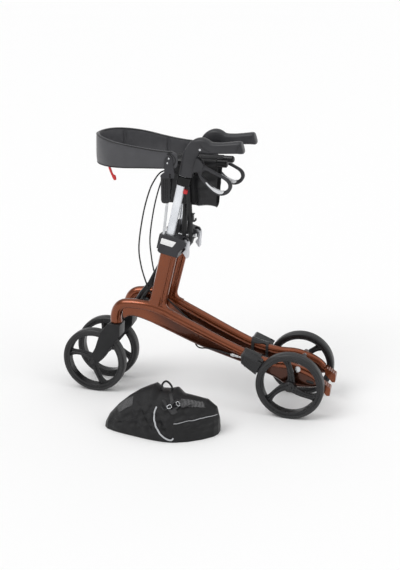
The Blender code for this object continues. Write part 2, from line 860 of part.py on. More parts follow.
def handle():
    """Sleeve, elbow and grip in one: soft rectangles carried along the handle's bent middle line."""
    rings = []
    for x, z, tilt, half_h, half_w in HANDLE_LINE:
        x = sleeve_centre(z) if x is None else x
        lean = POST_RAKE + radians(tilt)
        across = Vector((cos(lean), 0.0, -sin(lean)))
        rings.append(
            [
                Vector((x, -post_y(z), z)) + across * u + Vector((0, v, 0))
                for u, v in rounded(half_h, half_w, 12, 3.2)
            ]
        )
    obj = loft("handle_left", rings)
    ear_side = [
        (0.0055, 0.7510),
        (0.0314, 0.7450),
        (0.0436, 0.7288),
        (0.0409, 0.7137),
        (0.0269, 0.7072),
        (0.0009, 0.7087),
    ]
    ears = moved(
        outline(
            "lever_ears",
            [ear_side],
            0.0104,
            0.0015,
            resolution=1,
            steps=0,
            helper=True,
        ),
        y=-LEVER_Y,
    )
    slot = box(
        "lever_slot",
        (LEVER_PIVOT[0] - LEVER_EYE_RADIUS - 0.0012, -LEVER_Y - LEVER_HALF_THICKNESS - RUN_GAP, 0.69),
        (0.06, -LEVER_Y + LEVER_HALF_THICKNESS + RUN_GAP, 0.7545),
        helper=True,
    )
    bore = loft(
        "sleeve_bore",
        [tube_ring(z, SEAT_GAP) for z in (TUBE_TOP_Z + 0.002, SLEEVE_BOTTOM_Z - 0.02)],
        helper=True,
    )
    return cut(join(obj, ears), slot, bore)


def collar():
    bottom = SLEEVE_BOTTOM_Z - SEAT_GAP - COLLAR_HEIGHT
    across = Vector((cos(POST_RAKE), 0.0, -sin(POST_RAKE)))
    rings = []
    for z, grow in (
        (SLEEVE_BOTTOM_Z - 0.0015, -0.0006),
        (SLEEVE_BOTTOM_Z - 0.0045, 0.0006),
        (bottom + 0.004, 0.0006),
        (bottom, -0.0006),
    ):
        centre = Vector((sleeve_centre(z) - 0.0015, -post_y(z), z))
        rings.append(
            [
                centre + across * u + Vector((0, v, 0))
                for u, v in rounded(0.0188 + grow, SLEEVE_HALF_Y - 0.001 + grow, 14, 3.2)
            ]
        )
    bore = loft(
        "collar_bore", [tube_ring(z, SEAT_GAP) for z in (0.70, bottom - 0.01)], helper=True
    )
    return cut(loft("height_collar_left", rings), bore)


def brake_lever():
    """Closed loop lever, its eye held between the handle's ears."""
    px, pz = LEVER_PIVOT
    outer = [
        (px - 0.0085, pz + 0.0035),
        (px + 0.0030, pz + 0.0092),
        (0.0570, 0.7203),
        (0.0962, 0.7016),
        (0.1195, 0.6875),
        (0.1258, 0.6693),
        (0.1141, 0.6501),
        (0.0925, 0.6430),
        (0.0701, 0.6511),
        (0.0469, 0.6733),
        (0.0297, 0.6935),
        (px - 0.0080, pz - 0.0070),
    ]
    hole = [
        (0.0378, 0.7006),
        (0.0489, 0.7112),
        (0.0728, 0.7026),
        (0.1006, 0.6895),
        (0.1125, 0.6794),
        (0.1143, 0.6673),
        (0.1062, 0.6582),
        (0.0927, 0.6557),
        (0.0772, 0.6612),
        (0.0565, 0.6804),
    ]
    obj = outline(
        "brake_lever_left", [outer, hole], LEVER_HALF_THICKNESS, 0.0022, resolution=2, steps=0
    )
    return moved(obj, y=-LEVER_Y)


# Clamp on the post's top end, with its quick-release lever


def clamp_housing():
    side = [
        raked(b, a)
        for b, a in (
            (-0.0225, 0.0285),
            (-0.0100, 0.0310),
            (0.0300, 0.0315),
            (0.0480, 0.0300),
            (0.0545, 0.0230),
            (0.0545, 0.0110),
            (0.0440, -0.0020),
            (0.0395, -0.0120),
            (0.0385, -0.0265),
            (-0.0160, -0.0275),
            (-0.0225, -0.0225),
        )
    ]
    front = [
        raked(b, a)
        for b, a in ((-0.0290, 0.0250), (-0.0215, 0.0290), (-0.0210, -0.0180), (-0.0285, -0.0190))
    ]
    obj = moved(
        outline("clamp_housing_left", [side], CLAMP_HALF_WIDTH, 0.0025, smooth=False, steps=0),
        y=-CLAMP_Y,
    )
    flange = moved(
        outline("clamp_flange", [front], 0.0120, smooth=False, helper=True), y=-CLAMP_Y
    )
    pocket = loft(
        "clamp_pocket",
        [post_ring(z, RUN_GAP) for z in (POST_TOP_Z + 0.03, 0.42)],
        helper=True,
    )
    floor = [raked(b, a) for b, a in ((-0.05, 0.0006), (0.08, 0.0006), (0.08, 0.08), (-0.05, 0.08))]
    pocket = cut(
        pocket, moved(outline("pocket_end", [floor], 0.05, smooth=False, helper=True), y=-CLAMP_Y)
    )
    bore = loft(
        "clamp_bore", [tube_ring(z, RUN_GAP) for z in (0.56, 0.44)], helper=True
    )
    window = [
        raked(b, a) for b, a in ((-0.0175, 0.0190), (0.0270, 0.0195), (0.0190, 0.0015), (-0.0185, 0.0015))
    ]
    recess = moved(
        outline("clamp_recess", [window], 0.0010, smooth=False, helper=True),
        y=-CLAMP_Y - CLAMP_HALF_WIDTH,
    )
    px, pz = raked(*CLAMP_LEVER_PIVOT)
    notch_half = CLAMP_LEVER_HALF_WIDTH + RUN_GAP
    notch = cylinder(
        "lever_notch",
        (px, -CLAMP_Y - notch_half, pz),
        (px, -CLAMP_Y + notch_half, pz),
        CLAMP_NOTCH_RADIUS,
        28,
        helper=True,
    )
    cradle = box(
        "rail_cradle",
        (-0.0760, -CLAMP_Y + CLAMP_HALF_WIDTH - 0.004, 0.5000),
        (-0.0600, -PIVOT_HALF_SPAN + 0.0115, open_rail_z() - 0.004),
        helper=True,
    )
    saddle = cylinder(
        "rail_saddle",
        (-0.09, -PIVOT_HALF_SPAN, open_rail_z()),
        (-0.04, -PIVOT_HALF_SPAN, open_rail_z()),
        RAIL_RADIUS + 0.0006,
        14,
        helper=True,
    )
    pocket = as_helper(pocket)
    socket = rod_shape("rod_socket", BACKREST_ROD_RADIUS + SEAT_GAP, SEAT_GAP, helper=True)
    return cut(join(obj, flange, cradle), pocket, bore, recess, notch, saddle, socket)


def open_rail_z():
    """Height of the seat rails with the frame unfolded."""
    return PIVOT_Z + ARM_LENGTH * cos(ARM_ANGLE + FOLD_ANGLE)


def clamp_lever():
    """Flat lever over the rear of the clamp, its cam turning in the notch between two ears."""
    paddle = [
        raked(b, a)
        for b, a in (
            (0.0555, 0.0245),
            (0.0590, 0.0225),
            (0.0610, 0.0120),
            (0.0625, 0.0000),
            (0.0655, -0.0130),
            (0.0665, -0.0225),
            (0.0620, -0.0195),
            (0.0520, -0.0100),
            (0.0520, -0.0050),
            (0.0560, 0.0020),
            (0.0562, 0.0120),
        )
    ]
    px, pz = raked(*CLAMP_LEVER_PIVOT)
    obj = moved(
        outline("clamp_lever_left", [paddle], CLAMP_LEVER_HALF_WIDTH, smooth=False), y=-CLAMP_Y
    )
    lug = cylinder(
        "cam_lug",
        (px, -CLAMP_Y - CLAMP_LEVER_HALF_WIDTH + 0.0003, pz),
        (px, -CLAMP_Y + CLAMP_LEVER_HALF_WIDTH - 0.0003, pz),
        0.0085,
        14,
        helper=True,
    )
    neck_side = [
        raked(b, a) for b, a in ((0.044, 0.0230), (0.0580, 0.0215), (0.0585, 0.0060), (0.044, 0.0090))
    ]
    neck = moved(
        outline("cam_neck", [neck_side], CLAMP_LEVER_HALF_WIDTH - 0.0012, smooth=False, helper=True),
        y=-CLAMP_Y,
    )
    return join(obj, lug, neck)


# Folding brace, seat rails and what joins them


def brace_line(offset):
    """Middle line of the brace whose foot is on the left: (x, y, z) points up the arm."""
    heights = [PIVOT_Z, PIVOT_Z + 0.014, 0.35, 0.405, 0.445, 0.472]
    heights += [CROSS_Z - 0.008, CROSS_Z + 0.008, 0.61]
    top = RAIL_Z - (RAIL_RADIUS + SEAT_GAP) * cos(ARM_ANGLE)
    points = []
    for z in [*heights, top]:
        share = (z - PIVOT_Z) / (RAIL_Z - PIVOT_Z)
        aside = offset * min(1.0, max(0.0, (z - 0.33) / 0.10))
        points.append(
            (brace_x(z) + aside, -PIVOT_HALF_SPAN + 2 * PIVOT_HALF_SPAN * share, z)
        )
    return points


def brace(name, side, offset):
    """Bent arm from its foot on one side to the rail on the other, with side -1 for a left foot."""
    points = [(x, -side * y, z) for x, y, z in brace_line(offset)]
    obj = bar(name, points, [BRACE_RADIUS] * len(points), sides=2, resolution=2)
    foot_y = side * PIVOT_HALF_SPAN
    eye = cylinder(
        f"{name}_eye",
        (BRACE_FOOT_X - FOOT_EYE_HALF_LENGTH, foot_y, PIVOT_Z),
        (BRACE_FOOT_X + FOOT_EYE_HALF_LENGTH, foot_y, PIVOT_Z),
        FOOT_EYE_RADIUS,
        14,
        helper=True,
    )
    foot_bore = cylinder(
        f"{name}_foot_bore",
        (BRACE_FOOT_X - 0.05, foot_y, PIVOT_Z),
        (BRACE_FOOT_X + 0.05, foot_y, PIVOT_Z),
        FOOT_PIN_RADIUS + RUN_GAP,
        12,
        helper=True,
    )
    cross_bore = cylinder(
        f"{name}_cross_bore",
        (BRACE_TOP_X - 0.06, 0.0, CROSS_Z),
        (BRACE_TOP_X + 0.06, 0.0, CROSS_Z),
        CROSS_PIN_RADIUS + RUN_GAP,
        12,
        helper=True,
    )
    rail_room = cylinder(
        f"{name}_rail_room",
        (-0.1, -foot_y, RAIL_Z),
        (0.1, -foot_y, RAIL_Z),
        RAIL_RADIUS + SEAT_GAP,
        18,
        helper=True,
    )
    return cut(join(obj, eye), foot_bore, cross_bore, rail_room)


def cross_pin():
    """Pin through both arms where they cross, with a head at each end."""
    bar_end = brace_x(CROSS_Z) + BRACE_OFFSET + BRACE_RADIUS * 1.7
    bar_start = brace_x(CROSS_Z) - BRACE_OFFSET - BRACE_RADIUS * 1.7
    obj = cylinder("cross_pin", (bar_start, 0, CROSS_Z), (bar_end, 0, CROSS_Z), CROSS_PIN_RADIUS, 12)
    heads = [
        cylinder(f"pin_head_{i}", (x - 0.0015, 0, CROSS_Z), (x + 0.0015, 0, CROSS_Z), 0.0068, 12, helper=True)
        for i, x in enumerate((bar_start - 0.0012, bar_end + 0.0012))
    ]
    return join(obj, *heads)


def brace_bracket():
    """Clevis on the inner face of the front arm that holds a brace's foot on its pin."""
    reach = FOOT_EYE_HALF_LENGTH + SEAT_GAP
    ear = 0.0035
    y_face = -frame_y(BRACE_FOOT_X, PIVOT_Z) + WEB_HALF_THICKNESS + SEAT_GAP
    foot_y = -PIVOT_HALF_SPAN
    obj = box(
        "brace_bracket_left",
        (BRACE_FOOT_X - reach - ear * 0.6, y_face, PIVOT_Z - 0.0190),
        (BRACE_FOOT_X + reach + ear * 0.6, foot_y - FOOT_EYE_RADIUS - 0.0008, PIVOT_Z + 0.0004),
    )
    pieces = []
    for i, x in enumerate((BRACE_FOOT_X - reach - ear, BRACE_FOOT_X + reach)):
        pieces.append(
            box(
                f"bracket_ear_{i}",
                (x, y_face + 0.0003, PIVOT_Z - 0.0100),
                (x + ear, foot_y, PIVOT_Z + 0.0010),
                helper=True,
            )
        )
        pieces.append(
            cylinder(
                f"bracket_boss_{i}",
                (x + 0.0004, foot_y, PIVOT_Z),
                (x + ear - 0.0004, foot_y, PIVOT_Z),
                0.0070,
                10,
                helper=True,
            )
        )
    pin = cylinder(
        "bracket_pin",
        (BRACE_FOOT_X - reach - ear - 0.002, foot_y, PIVOT_Z),
        (BRACE_FOOT_X + reach + ear + 0.002, foot_y, PIVOT_Z),
        FOOT_PIN_RADIUS,
        10,
        helper=True,
    )
    obj = join(obj, *pieces, pin)
    for vertex in obj.data.vertices:
        if vertex.co.y < y_face + 0.001:
            vertex.co.y -= frame_y(vertex.co.x, vertex.co.z) - frame_y(BRACE_FOOT_X, PIVOT_Z)
    return obj


def seat_rail(name, y):
    """Round rail with a domed plug at each end."""
    profile = [
        (0.0, RAIL_REAR_X),
        (RAIL_RADIUS * 0.6, RAIL_REAR_X),
        (RAIL_RADIUS, RAIL_REAR_X - 0.005),
        (RAIL_RADIUS, RAIL_FRONT_X + 0.005),
        (RAIL_RADIUS * 0.6, RAIL_FRONT_X),
        (0.0, RAIL_FRONT_X),
    ]
    obj = turned(name, profile, (0, 0, 0), 14)
    obj.data.transform(Matrix.Rotation(-pi / 2, 4, "Z"))
    return moved(obj, 0.0, y, RAIL_Z)


def fold_hook():
    """Small hook on the rear of the rear brace."""
    z = 0.557
    share = (z - PIVOT_Z) / (RAIL_Z - PIVOT_Z)
    y = PIVOT_HALF_SPAN - 2 * PIVOT_HALF_SPAN * share
    x = BRACE_TOP_X + BRACE_OFFSET + BRACE_RADIUS + SEAT_GAP
    shape = [
        (x - 0.003, z - 0.012),
        (x + 0.0060, z - 0.012),
        (x + 0.0110, z - 0.0085),
        (x + 0.0110, z - 0.0010),
        (x + 0.0075, z - 0.0010),
        (x + 0.0070, z - 0.0065),
        (x + 0.0035, z - 0.0075),
        (x + 0.0035, z + 0.0095),
        (x + 0.0060, z + 0.0110),
        (x + 0.0060, z + 0.0135),
        (x - 0.003, z + 0.0135),
    ]
    points = [(px, -py, pz) for px, py, pz in brace_line(BRACE_OFFSET)]
    room = bar(
        "hook_room", points, [BRACE_RADIUS + SEAT_GAP] * len(points), 2, 2, helper=True
    )
    return cut(moved(outline("fold_hook", [shape], 0.0042, smooth=False), y=y), room)


# Soft parts


def sheet_solid(name, points, thickness):
    """Grid of points, rows by columns, made a closed cloth of even thickness."""
    rows, columns = len(points), len(points[0])
    work = bmesh.new()
    verts = [[work.verts.new(p) for p in row] for row in points]
    for i in range(rows - 1):
        for j in range(columns - 1):
            work.faces.new((verts[i][j], verts[i + 1][j], verts[i + 1][j + 1], verts[i][j + 1]))
    obj = mesh_object(name, work)
    solid = obj.modifiers.new("thickness", "SOLIDIFY")
    solid.thickness = thickness
    solid.offset = 0.0
    return made_mesh(obj)


def smooth_step(t):
    t = min(1.0, max(0.0, t))
    return t * t * (3 - 2 * t)


def seat_cloth():
    """Seat cloth hung between the rails, falling in a V inside the crossed arms, with soft folds."""
    top_y = PIVOT_HALF_SPAN - RAIL_RADIUS - SEAT_GAP - CLOTH_THICKNESS * 0.5 - 0.0004
    slope = PIVOT_HALF_SPAN / (RAIL_Z - CROSS_Z)
    rows = []
    columns, steps = 12, 14
    for i in range(columns):
        u = i / (columns - 1)
        x = CLOTH_FRONT_X + (CLOTH_REAR_X - CLOTH_FRONT_X) * u
        free = smooth_step((x - BRACE_TOP_X - 0.022) / 0.03)
        bottom = CLOTH_BOTTOM_Z + 0.004 * sin(9 * u) * free + 0.006 * (1 - u)
        row = []
        for k in range(steps + 1):
            s = 2 * k / steps - 1
            depth = 1 - abs(s) ** 1.9
            z = RAIL_Z - 0.001 - (RAIL_Z - 0.001 - bottom) * depth
            near = slope * (z - CROSS_Z) - BRACE_RADIUS / cos(ARM_ANGLE) - 0.0026
            room = min(top_y, near + 0.012 * free * (1 - abs(s) ** 3))
            wave = 0.0026 * free * sin(2 * pi * (2.4 * u + 0.9 * depth)) * depth * (1 - depth) * 3
            y = (1 if s > 0 else -1) * room * min(1.0, abs(s) * 5) + wave
            row.append((x - CLOTH_REAR_SLANT * free * depth, y, z))
        rows.append(row)
    return sheet_solid("seat_cloth", rows, CLOTH_THICKNESS)


def band_spread():
    """Angle at which the band's sides spread forward, and the reach from its end to its front's centre."""
    ahead = BAND_END_X - BAND_CENTRE_X
    reach = hypot(ahead, BAND_HALF_WIDTH)
    return asin(BAND_FRONT_RADIUS / reach) - atan2(BAND_HALF_WIDTH, ahead), reach


def band_point(s):
    """Middle line of the backrest band at share s of its length: sides that flare to a round front."""
    spread, reach = band_spread()
    straight = sqrt(reach**2 - BAND_FRONT_RADIUS**2)
    half_run = straight + BAND_FRONT_RADIUS * (pi / 2 + spread)
    run = 2 * half_run * min(s, 1 - s)
    side = -1 if s < 0.5 else 1
    if run < straight:
        out = (sin(spread), side * cos(spread))
        where = (BAND_END_X - run * cos(spread), side * (BAND_HALF_WIDTH + run * sin(spread)))
    else:
        turn = spread - (run - straight) / BAND_FRONT_RADIUS
        out = (sin(turn), side * cos(turn))
        where = (BAND_CENTRE_X + BAND_FRONT_RADIUS * out[0], BAND_FRONT_RADIUS * out[1])
    return where, out, run / half_run


def band_edges(depth):
    """Heights of the band's top and bottom edges at a share of the way to its front."""
    rise = smooth_step(depth * 1.15)
    return (
        BAND_TOP_END_Z + (BAND_TOP_FRONT_Z - BAND_TOP_END_Z) * rise,
        BAND_BOTTOM_END_Z + (BAND_BOTTOM_FRONT_Z - BAND_BOTTOM_END_Z) * rise,
    )


def backrest_band():
    """Padded band in a U: crowned faces, a drawn-in edge, and stitched channels on the inside."""
    stations = 37
    rings = []
    for k in range(stations):
        (x, y), out, depth = band_point(k / (stations - 1))
        top, bottom = band_edges(depth)
        end = min(k, stations - 1 - k)
        close = (0.42, 0.78, 0.94)[end] if end < 3 else 1.0
        middle, half = (top + bottom) / 2, (top - bottom) / 2 * close
        channel = 0.72 if end in (5, 13) else 1.0
        thick = BAND_THICKNESS / 2 * (0.80 if end == 0 else 1.0)
        section = [
            (-0.24, 1.0),
            (0.24, 1.0),
            (0.74, 0.88),
            (0.98, 0.36),
            (0.98, -0.36),
            (0.74, -0.88),
            (0.24, -1.0),
            (-0.24, -1.0),
            (-0.72 * channel, -0.86),
            (-0.98 * channel, -0.34),
            (-0.98 * channel, 0.34),
            (-0.72 * channel, 0.86),
        ]
        rings.append(
            [
                (x + out[0] * thick * across, y + out[1] * thick * across, middle + half * up)
                for across, up in section
            ]
        )
    return loft("backrest_band", rings)


def pull_tab():
    """Red pull hanging from the band's lower edge."""
    (x, y), _, depth = band_point(PULL_TAB_SHARE)
    z = band_edges(depth)[1] - SEAT_GAP
    shape = [
        (x - 0.0060, z - 0.0001),
        (x, z),
        (x + 0.0075, z - 0.0185),
        (x + 0.0140, z - 0.0225),
        (x + 0.0165, z - 0.0335),
        (x + 0.0130, z - 0.0365),
        (x + 0.0085, z - 0.0345),
        (x + 0.0015, z - 0.0200),
    ]
    return moved(outline("pull_tab", [shape], 0.0022, smooth=False), y=y)


def backrest_column():
    """Ribbed column above the clamp that carries the backrest bracket and the band."""
    top = BAND_BOTTOM_END_Z - 0.0255
    half_y = COLUMN_HALF_WIDTH
    rings = []
    for z, front, rear, grow in (
        (0.6130, -0.0745, -0.0590, 0.66),
        (0.6155, -0.0780, -0.0555, 0.90),
        (0.6215, -0.0797, -0.0540, 1.0),
        (top - 0.002, -0.0800, -0.0470, 1.0),
        (top, -0.0790, -0.0480, 0.92),
    ):
        ring = []
        for x, y in rounded((rear - front) / 2, half_y * grow, 12, 3.6):
            ring.append(((rear + front) / 2 + x, y - COLUMN_Y, z))
        rings.append(ring)
    obj = loft("backrest_column_left", rings)
    ribs = [
        box(
            f"column_groove_{i}",
            (x, -COLUMN_Y - half_y - 0.01, 0.6260),
            (x + 0.0024, -COLUMN_Y - half_y + 0.0016, top - 0.006),
            helper=True,
        )
        for i, x in enumerate((-0.0745, -0.0695, -0.0645, -0.0595))
    ]
    rod_room = rod_shape("column_bore", BACKREST_ROD_RADIUS + SEAT_GAP, SEAT_GAP, helper=True)
    return cut(obj, *ribs, rod_room)


def rod_shape(name, radius, extra=0.0, helper=False):
    """The backrest rod, or with extra length the room for it."""
    lean = 0.120

    def at(z):
        return (-0.0745 + (z - 0.5175) * lean, -COLUMN_Y, z)

    return cylinder(name, at(ROD_FOOT_Z - extra), at(ROD_TOP_Z + extra), radius, 12, helper)


def backrest_rod():
    return rod_shape("backrest_rod_left", BACKREST_ROD_RADIUS)


def backrest_bracket():
    """Bent arm from the top of the column up the outside of the band's end."""
    face = -(BAND_HALF_WIDTH + BAND_THICKNESS / 2 + SEAT_GAP)
    half = BRACKET_THICKNESS / 2
    seat = BAND_BOTTOM_END_Z - 0.0255 + SEAT_GAP
    side = [
        (-0.0615, 0.7300),
        (-0.0575, 0.7470),
        (-0.0475, 0.7555),
        (-0.0390, 0.7500),
        (-0.0370, 0.7340),
        (-0.0345, 0.7120),
        (-0.0345, 0.6905),
        (-0.0420, seat),
        (-0.0700, seat),
        (-0.0720, 0.6985),
        (-0.0600, 0.7090),
    ]
    spread, _ = band_spread()
    obj = outline("backrest_bracket_left", [side], half, 0.0008, resolution=2, steps=0)
    for vertex in obj.data.vertices:
        vertex.co.y += face - half - (BAND_END_X - vertex.co.x) * tan(spread)
    foot = box(
        "bracket_foot",
        (-0.0720, face - 0.0042, seat - 0.001),
        (-0.0480, -COLUMN_Y + 0.0015, seat + 0.0065),
        helper=True,
    )
    below = box(
        "bracket_below", (-0.10, face - 0.01, seat - 0.02), (0.0, 0.0, seat + 0.0002), helper=True
    )
    return cut(join(obj, foot), below)


# Brake cable, its adjuster, the cover and the shoe

CABLE_ROUTE = [
    (0.0193, -0.0627, 0.7005),
    (0.0108, -0.0572, 0.6940),
    (-0.0042, -0.0537, 0.6900),
    (-0.0400, -0.0512, 0.6940),
    (-0.0680, -0.0512, 0.7000),
    (-0.0895, -0.0512, 0.6945),
    (-0.1080, -0.0512, 0.6720),
    (-0.1260, -0.0512, 0.6350),
    (-0.1457, -0.0512, 0.5650),
    (-0.1600, -0.0505, 0.4740),
    (-0.1565, -0.0480, 0.4150),
    (-0.1435, -0.0405, 0.3570),
    (-0.1260, -0.0345, 0.3150),
    (-0.0990, -0.0338, 0.2830),
    (-0.0620, -0.0330, 0.2500),
    (-0.0260, -0.0338, 0.2190),
    (-0.0050, -0.0338, 0.1985),
    (0.0040, -0.0358, 0.1868),
    (0.0100, -0.0420, 0.1790),
    (0.0165, -0.0510, 0.1762),
    (0.0260, -0.0595, 0.1752),
    (0.0370, -0.0645, 0.1764),
    (0.0511, -0.0655, 0.1782),
    (0.0872, -0.0655, 0.1740),
    (0.1233, -0.0655, 0.1667),
]
CABLE_STEP = 6 * CABLE_RADIUS


def brake_cable():
    """Cable from the lever's bracket, down inside the frame, under the web and back to the brake."""
    points = smooth_line(CABLE_ROUTE, CABLE_STEP)
    curve = bpy.data.curves.new("brake_cable_left", "CURVE")
    curve.dimensions = "3D"
    curve.bevel_depth = CABLE_RADIUS
    curve.bevel_resolution = 2
    curve.use_fill_caps = True
    spline = curve.splines.new("POLY")
    spline.points.add(len(points) - 1)
    for point, where in zip(spline.points, points):
        point.co = (*where, 1.0)
    return made_mesh(place(curve, "brake_cable_left"))


def cable_adjuster():
    """Barrel adjuster between the cable's end and the brake cover."""
    start = Vector(CABLE_ROUTE[-1])
    before = Vector(CABLE_ROUTE[-2])
    way = (start - before).normalized()
    start = start + way * SEAT_GAP
    stop_x = COVER_FRONT_X - 0.0009
    length = (stop_x - start.x) / way.x
    steps = [
        (0.0, 0.0030),
        (0.12, 0.0046),
        (0.30, 0.0046),
        (0.34, 0.0034),
        (0.62, 0.0034),
        (0.66, 0.0024),
        (1.0, 0.0024),
    ]
    turn = way.to_track_quat("Z", "Y")
    rings = []
    for share, radius in steps:
        centre = start + way * (length * share)
        rings.append(
            [
                centre + turn @ Vector((radius * cos(2 * pi * k / 10), radius * sin(2 * pi * k / 10), 0))
                for k in range(10)
            ]
        )
    return loft("cable_adjuster_left", rings)


def beam_section(x, grow):
    """Ring round the beam at one X, grown: round over the main tube, then flat down the web."""
    line = list(zip(*MAIN_LINE))
    centre, radius = (float(np.interp(x, line[0], line[k])) for k in (1, 2))
    under = float(np.interp(x, *zip(*WEB_UNDERSIDE)))
    side, waist = WEB_HALF_THICKNESS + grow, centre - 0.6 * radius
    ring = [
        ((radius + grow) * cos(pi * k / 6), centre + (1.07 * radius + grow) * sin(pi * k / 6))
        for k in range(7)
    ]
    ring += [(-side, waist), (-side, under - grow), (side, under - grow), (side, waist)]
    return [(x, y - frame_y(x, z), z) for y, z in ring]


def brake_cover():
    """Moulded cover: a strap that hugs the beam and a shield over the brake shoe."""
    side = [
        (COVER_FRONT_X, 0.1810),
        (0.1680, 0.1830),
        (0.2160, 0.1635),
        (0.2235, 0.1590),
        (0.2230, 0.1360),
        (0.2057, 0.1240),
        (0.1817, 0.1400),
        (COVER_FRONT_X, 0.1545),
    ]
    middle = (COVER_OUTER_Y + BEAM_Y) / 2
    half = (COVER_OUTER_Y - BEAM_Y) / 2
    shield = moved(
        outline("brake_cover_left", [side], half, 0.0025, smooth=False, steps=0), y=-middle
    )
    strap_x = (COVER_FRONT_X + 0.0008, 0.2044, 0.2150)
    strap = loft(
        "cover_strap", [beam_section(x, COVER_FIT + COVER_WALL) for x in strap_x], helper=True
    )
    beam_x = (0.150, 0.160, 0.2044, 0.2272, 0.2450)
    beam = loft("cover_beam", [beam_section(x, COVER_FIT) for x in beam_x], helper=True)
    window = box("cover_window", (0.1720, -0.040, 0.1350), (0.2070, 0.0, 0.1700), helper=True)
    tyre_room = cylinder(
        "cover_tyre_room",
        (HALF_WHEELBASE, -0.14, WHEEL_RADIUS),
        (HALF_WHEELBASE, -REAR_WHEEL_Y + TYRE_WIDTH / 2 + 0.002, WHEEL_RADIUS),
        WHEEL_RADIUS + 0.0036,
        48,
        helper=True,
    )
    shoe_room = sector(
        "cover_shoe_room",
        0.090,
        SHOE_RADIUS + 0.002,
        SHOE_START - 5.0,
        SHOE_END + 2.5,
        SHOE_Y[0] - SEAT_GAP,
        SHOE_Y[1] + SEAT_GAP,
        helper=True,
    )
    return cut(join(shield, strap), beam, window, tyre_room, shoe_room)


def sector(name, inner, outer, start, end, y0, y1, helper=False):
    """Block between two radii and two angles round the rear axle."""
    angles = [radians(start + (end - start) * k / 6) for k in range(7)]
    points = [
        (HALF_WHEELBASE + r * cos(a), WHEEL_RADIUS + r * sin(a))
        for r, arc in ((inner, angles), (outer, angles[::-1]))
        for a in arc
    ]
    return moved(
        outline(name, [points], (y1 - y0) / 2, smooth=False, helper=helper), y=-(y1 + y0) / 2
    )


def brake_shoe():
    return sector(
        "brake_shoe_left", WHEEL_RADIUS + SHOE_GAP, SHOE_RADIUS, SHOE_START, SHOE_END, *SHOE_Y
    )


def frame_bolt():
    """Bright bolt through the tail above the rear axle."""
    x, z = BOLT_AT
    centre = -frame_y(x, z)
    half = 0.0130
    obj = cylinder(
        "frame_bolt_left", (x, centre - half, z), (x, centre + half, z), BOLT_RADIUS, 12
    )
    outer, inner = centre - half, centre + half
    head = cylinder(
        "frame_bolt_head", (x, outer + 0.0006, z), (x, outer - 0.0035, z), 0.0086, 14, helper=True
    )
    nut = cylinder(
        "frame_bolt_nut", (x, inner - 0.0006, z), (x, inner + 0.0035, z), 0.0070, 6, helper=True
    )
    return join(obj, head, nut)


def tip_pedal():
    """Ribbed pedal at the tail's end, pressed with the foot to lift the front wheels."""
    front = TAIL_END_X + SEAT_GAP
    top, low = 0.1130, 0.0925
    shape = [(front, low), (front, top)]
    for k in range(5):
        x = front + 0.0035 + k * 0.0062
        z = top - 0.0040 * k
        shape += [(x, z - 0.0012), (x + 0.0022, z - 0.0012), (x + 0.0032, z - 0.0030)]
    shape += [(0.4215, 0.0905), (0.4195, 0.0690), (0.4110, 0.0680)]
    y = -frame_y(TAIL_END_X, WHEEL_RADIUS) + 0.003
    return moved(outline("tip_pedal_left", [shape], 0.0125, smooth=False), y=y)


# Bag, taken off and set down on the floor at the left


def bag():
    """Soft, half-collapsed bag: sections across it, each flat on the floor and slumped to a ridge."""
    sections = [
        # x, ridge height, ridge y, near edge y, far edge y
        (-0.1850, 0.016, -0.282, -0.296, -0.268),
        (-0.1740, 0.038, -0.280, -0.308, -0.248),
        (-0.1500, 0.066, -0.276, -0.318, -0.226),
        (-0.1200, 0.092, -0.270, -0.326, -0.210),
        (-0.0900, 0.113, -0.266, -0.332, -0.202),
        (-0.0600, 0.128, -0.262, -0.338, -0.198),
        (-0.0425, 0.136, -0.260, -0.341, -0.197),
        (-0.0245, 0.122, -0.260, -0.343, -0.196),
        (0.0000, 0.124, -0.261, -0.344, -0.196),
        (0.0200, 0.131, -0.262, -0.343, -0.197),
        (0.0380, 0.114, -0.262, -0.339, -0.199),
        (0.0700, 0.108, -0.258, -0.325, -0.202),
        (0.1050, 0.101, -0.252, -0.300, -0.207),
        (0.1300, 0.080, -0.246, -0.274, -0.216),
        (0.1385, 0.050, -0.244, -0.256, -0.230),
    ]
    rings = []
    for x, height, ridge, near, far in sections:
        ring = [(x, near, 0.0)]
        for k in range(1, 12):
            a = pi * k / 12
            half = (ridge - near) if k < 6 else (far - ridge)
            swell = 1.0 + 0.06 * sin(2 * a) ** 2
            ring.append((x, ridge - half * swell * cos(a) * sin(a) ** 0.1, height * sin(a) ** 0.85))
        ring.append((x, far, 0.0))
        rings.append(ring)
    return loft("bag", rings)


# Assembly: empties on the joint axes carry what moves


def joint_at(name, where, parent=None):
    empty = bpy.data.objects.new(name, None)
    empty.empty_display_size = 0.03
    PARTS.objects.link(empty)
    empty.parent = parent
    bpy.context.view_layer.update()
    empty.matrix_world = Matrix.Translation(where)
    bpy.context.view_layer.update()
    return empty


def carried(obj, empty, finish, sharp=35):
    """Gives a piece its finish and shading, sets its origin on its joint and parents it there."""
    obj.data.materials.clear()
    obj.data.materials.append(finish_of(finish))
    obj.data.shade_smooth()
    obj.data.set_sharp_from_angle(angle=radians(sharp))
    here = empty.matrix_world.translation
    obj.data.transform(Matrix.Translation(-here))
    obj.parent = empty
    return obj


def mirrored(obj):
    """The right-hand twin of a left-hand piece, as its own mesh."""
    data = obj.data.copy()
    data.transform(Matrix.Scale(-1, 4, (0, 1, 0)))
    data.flip_normals()
    return place(data, obj.name.replace("left", "right"))


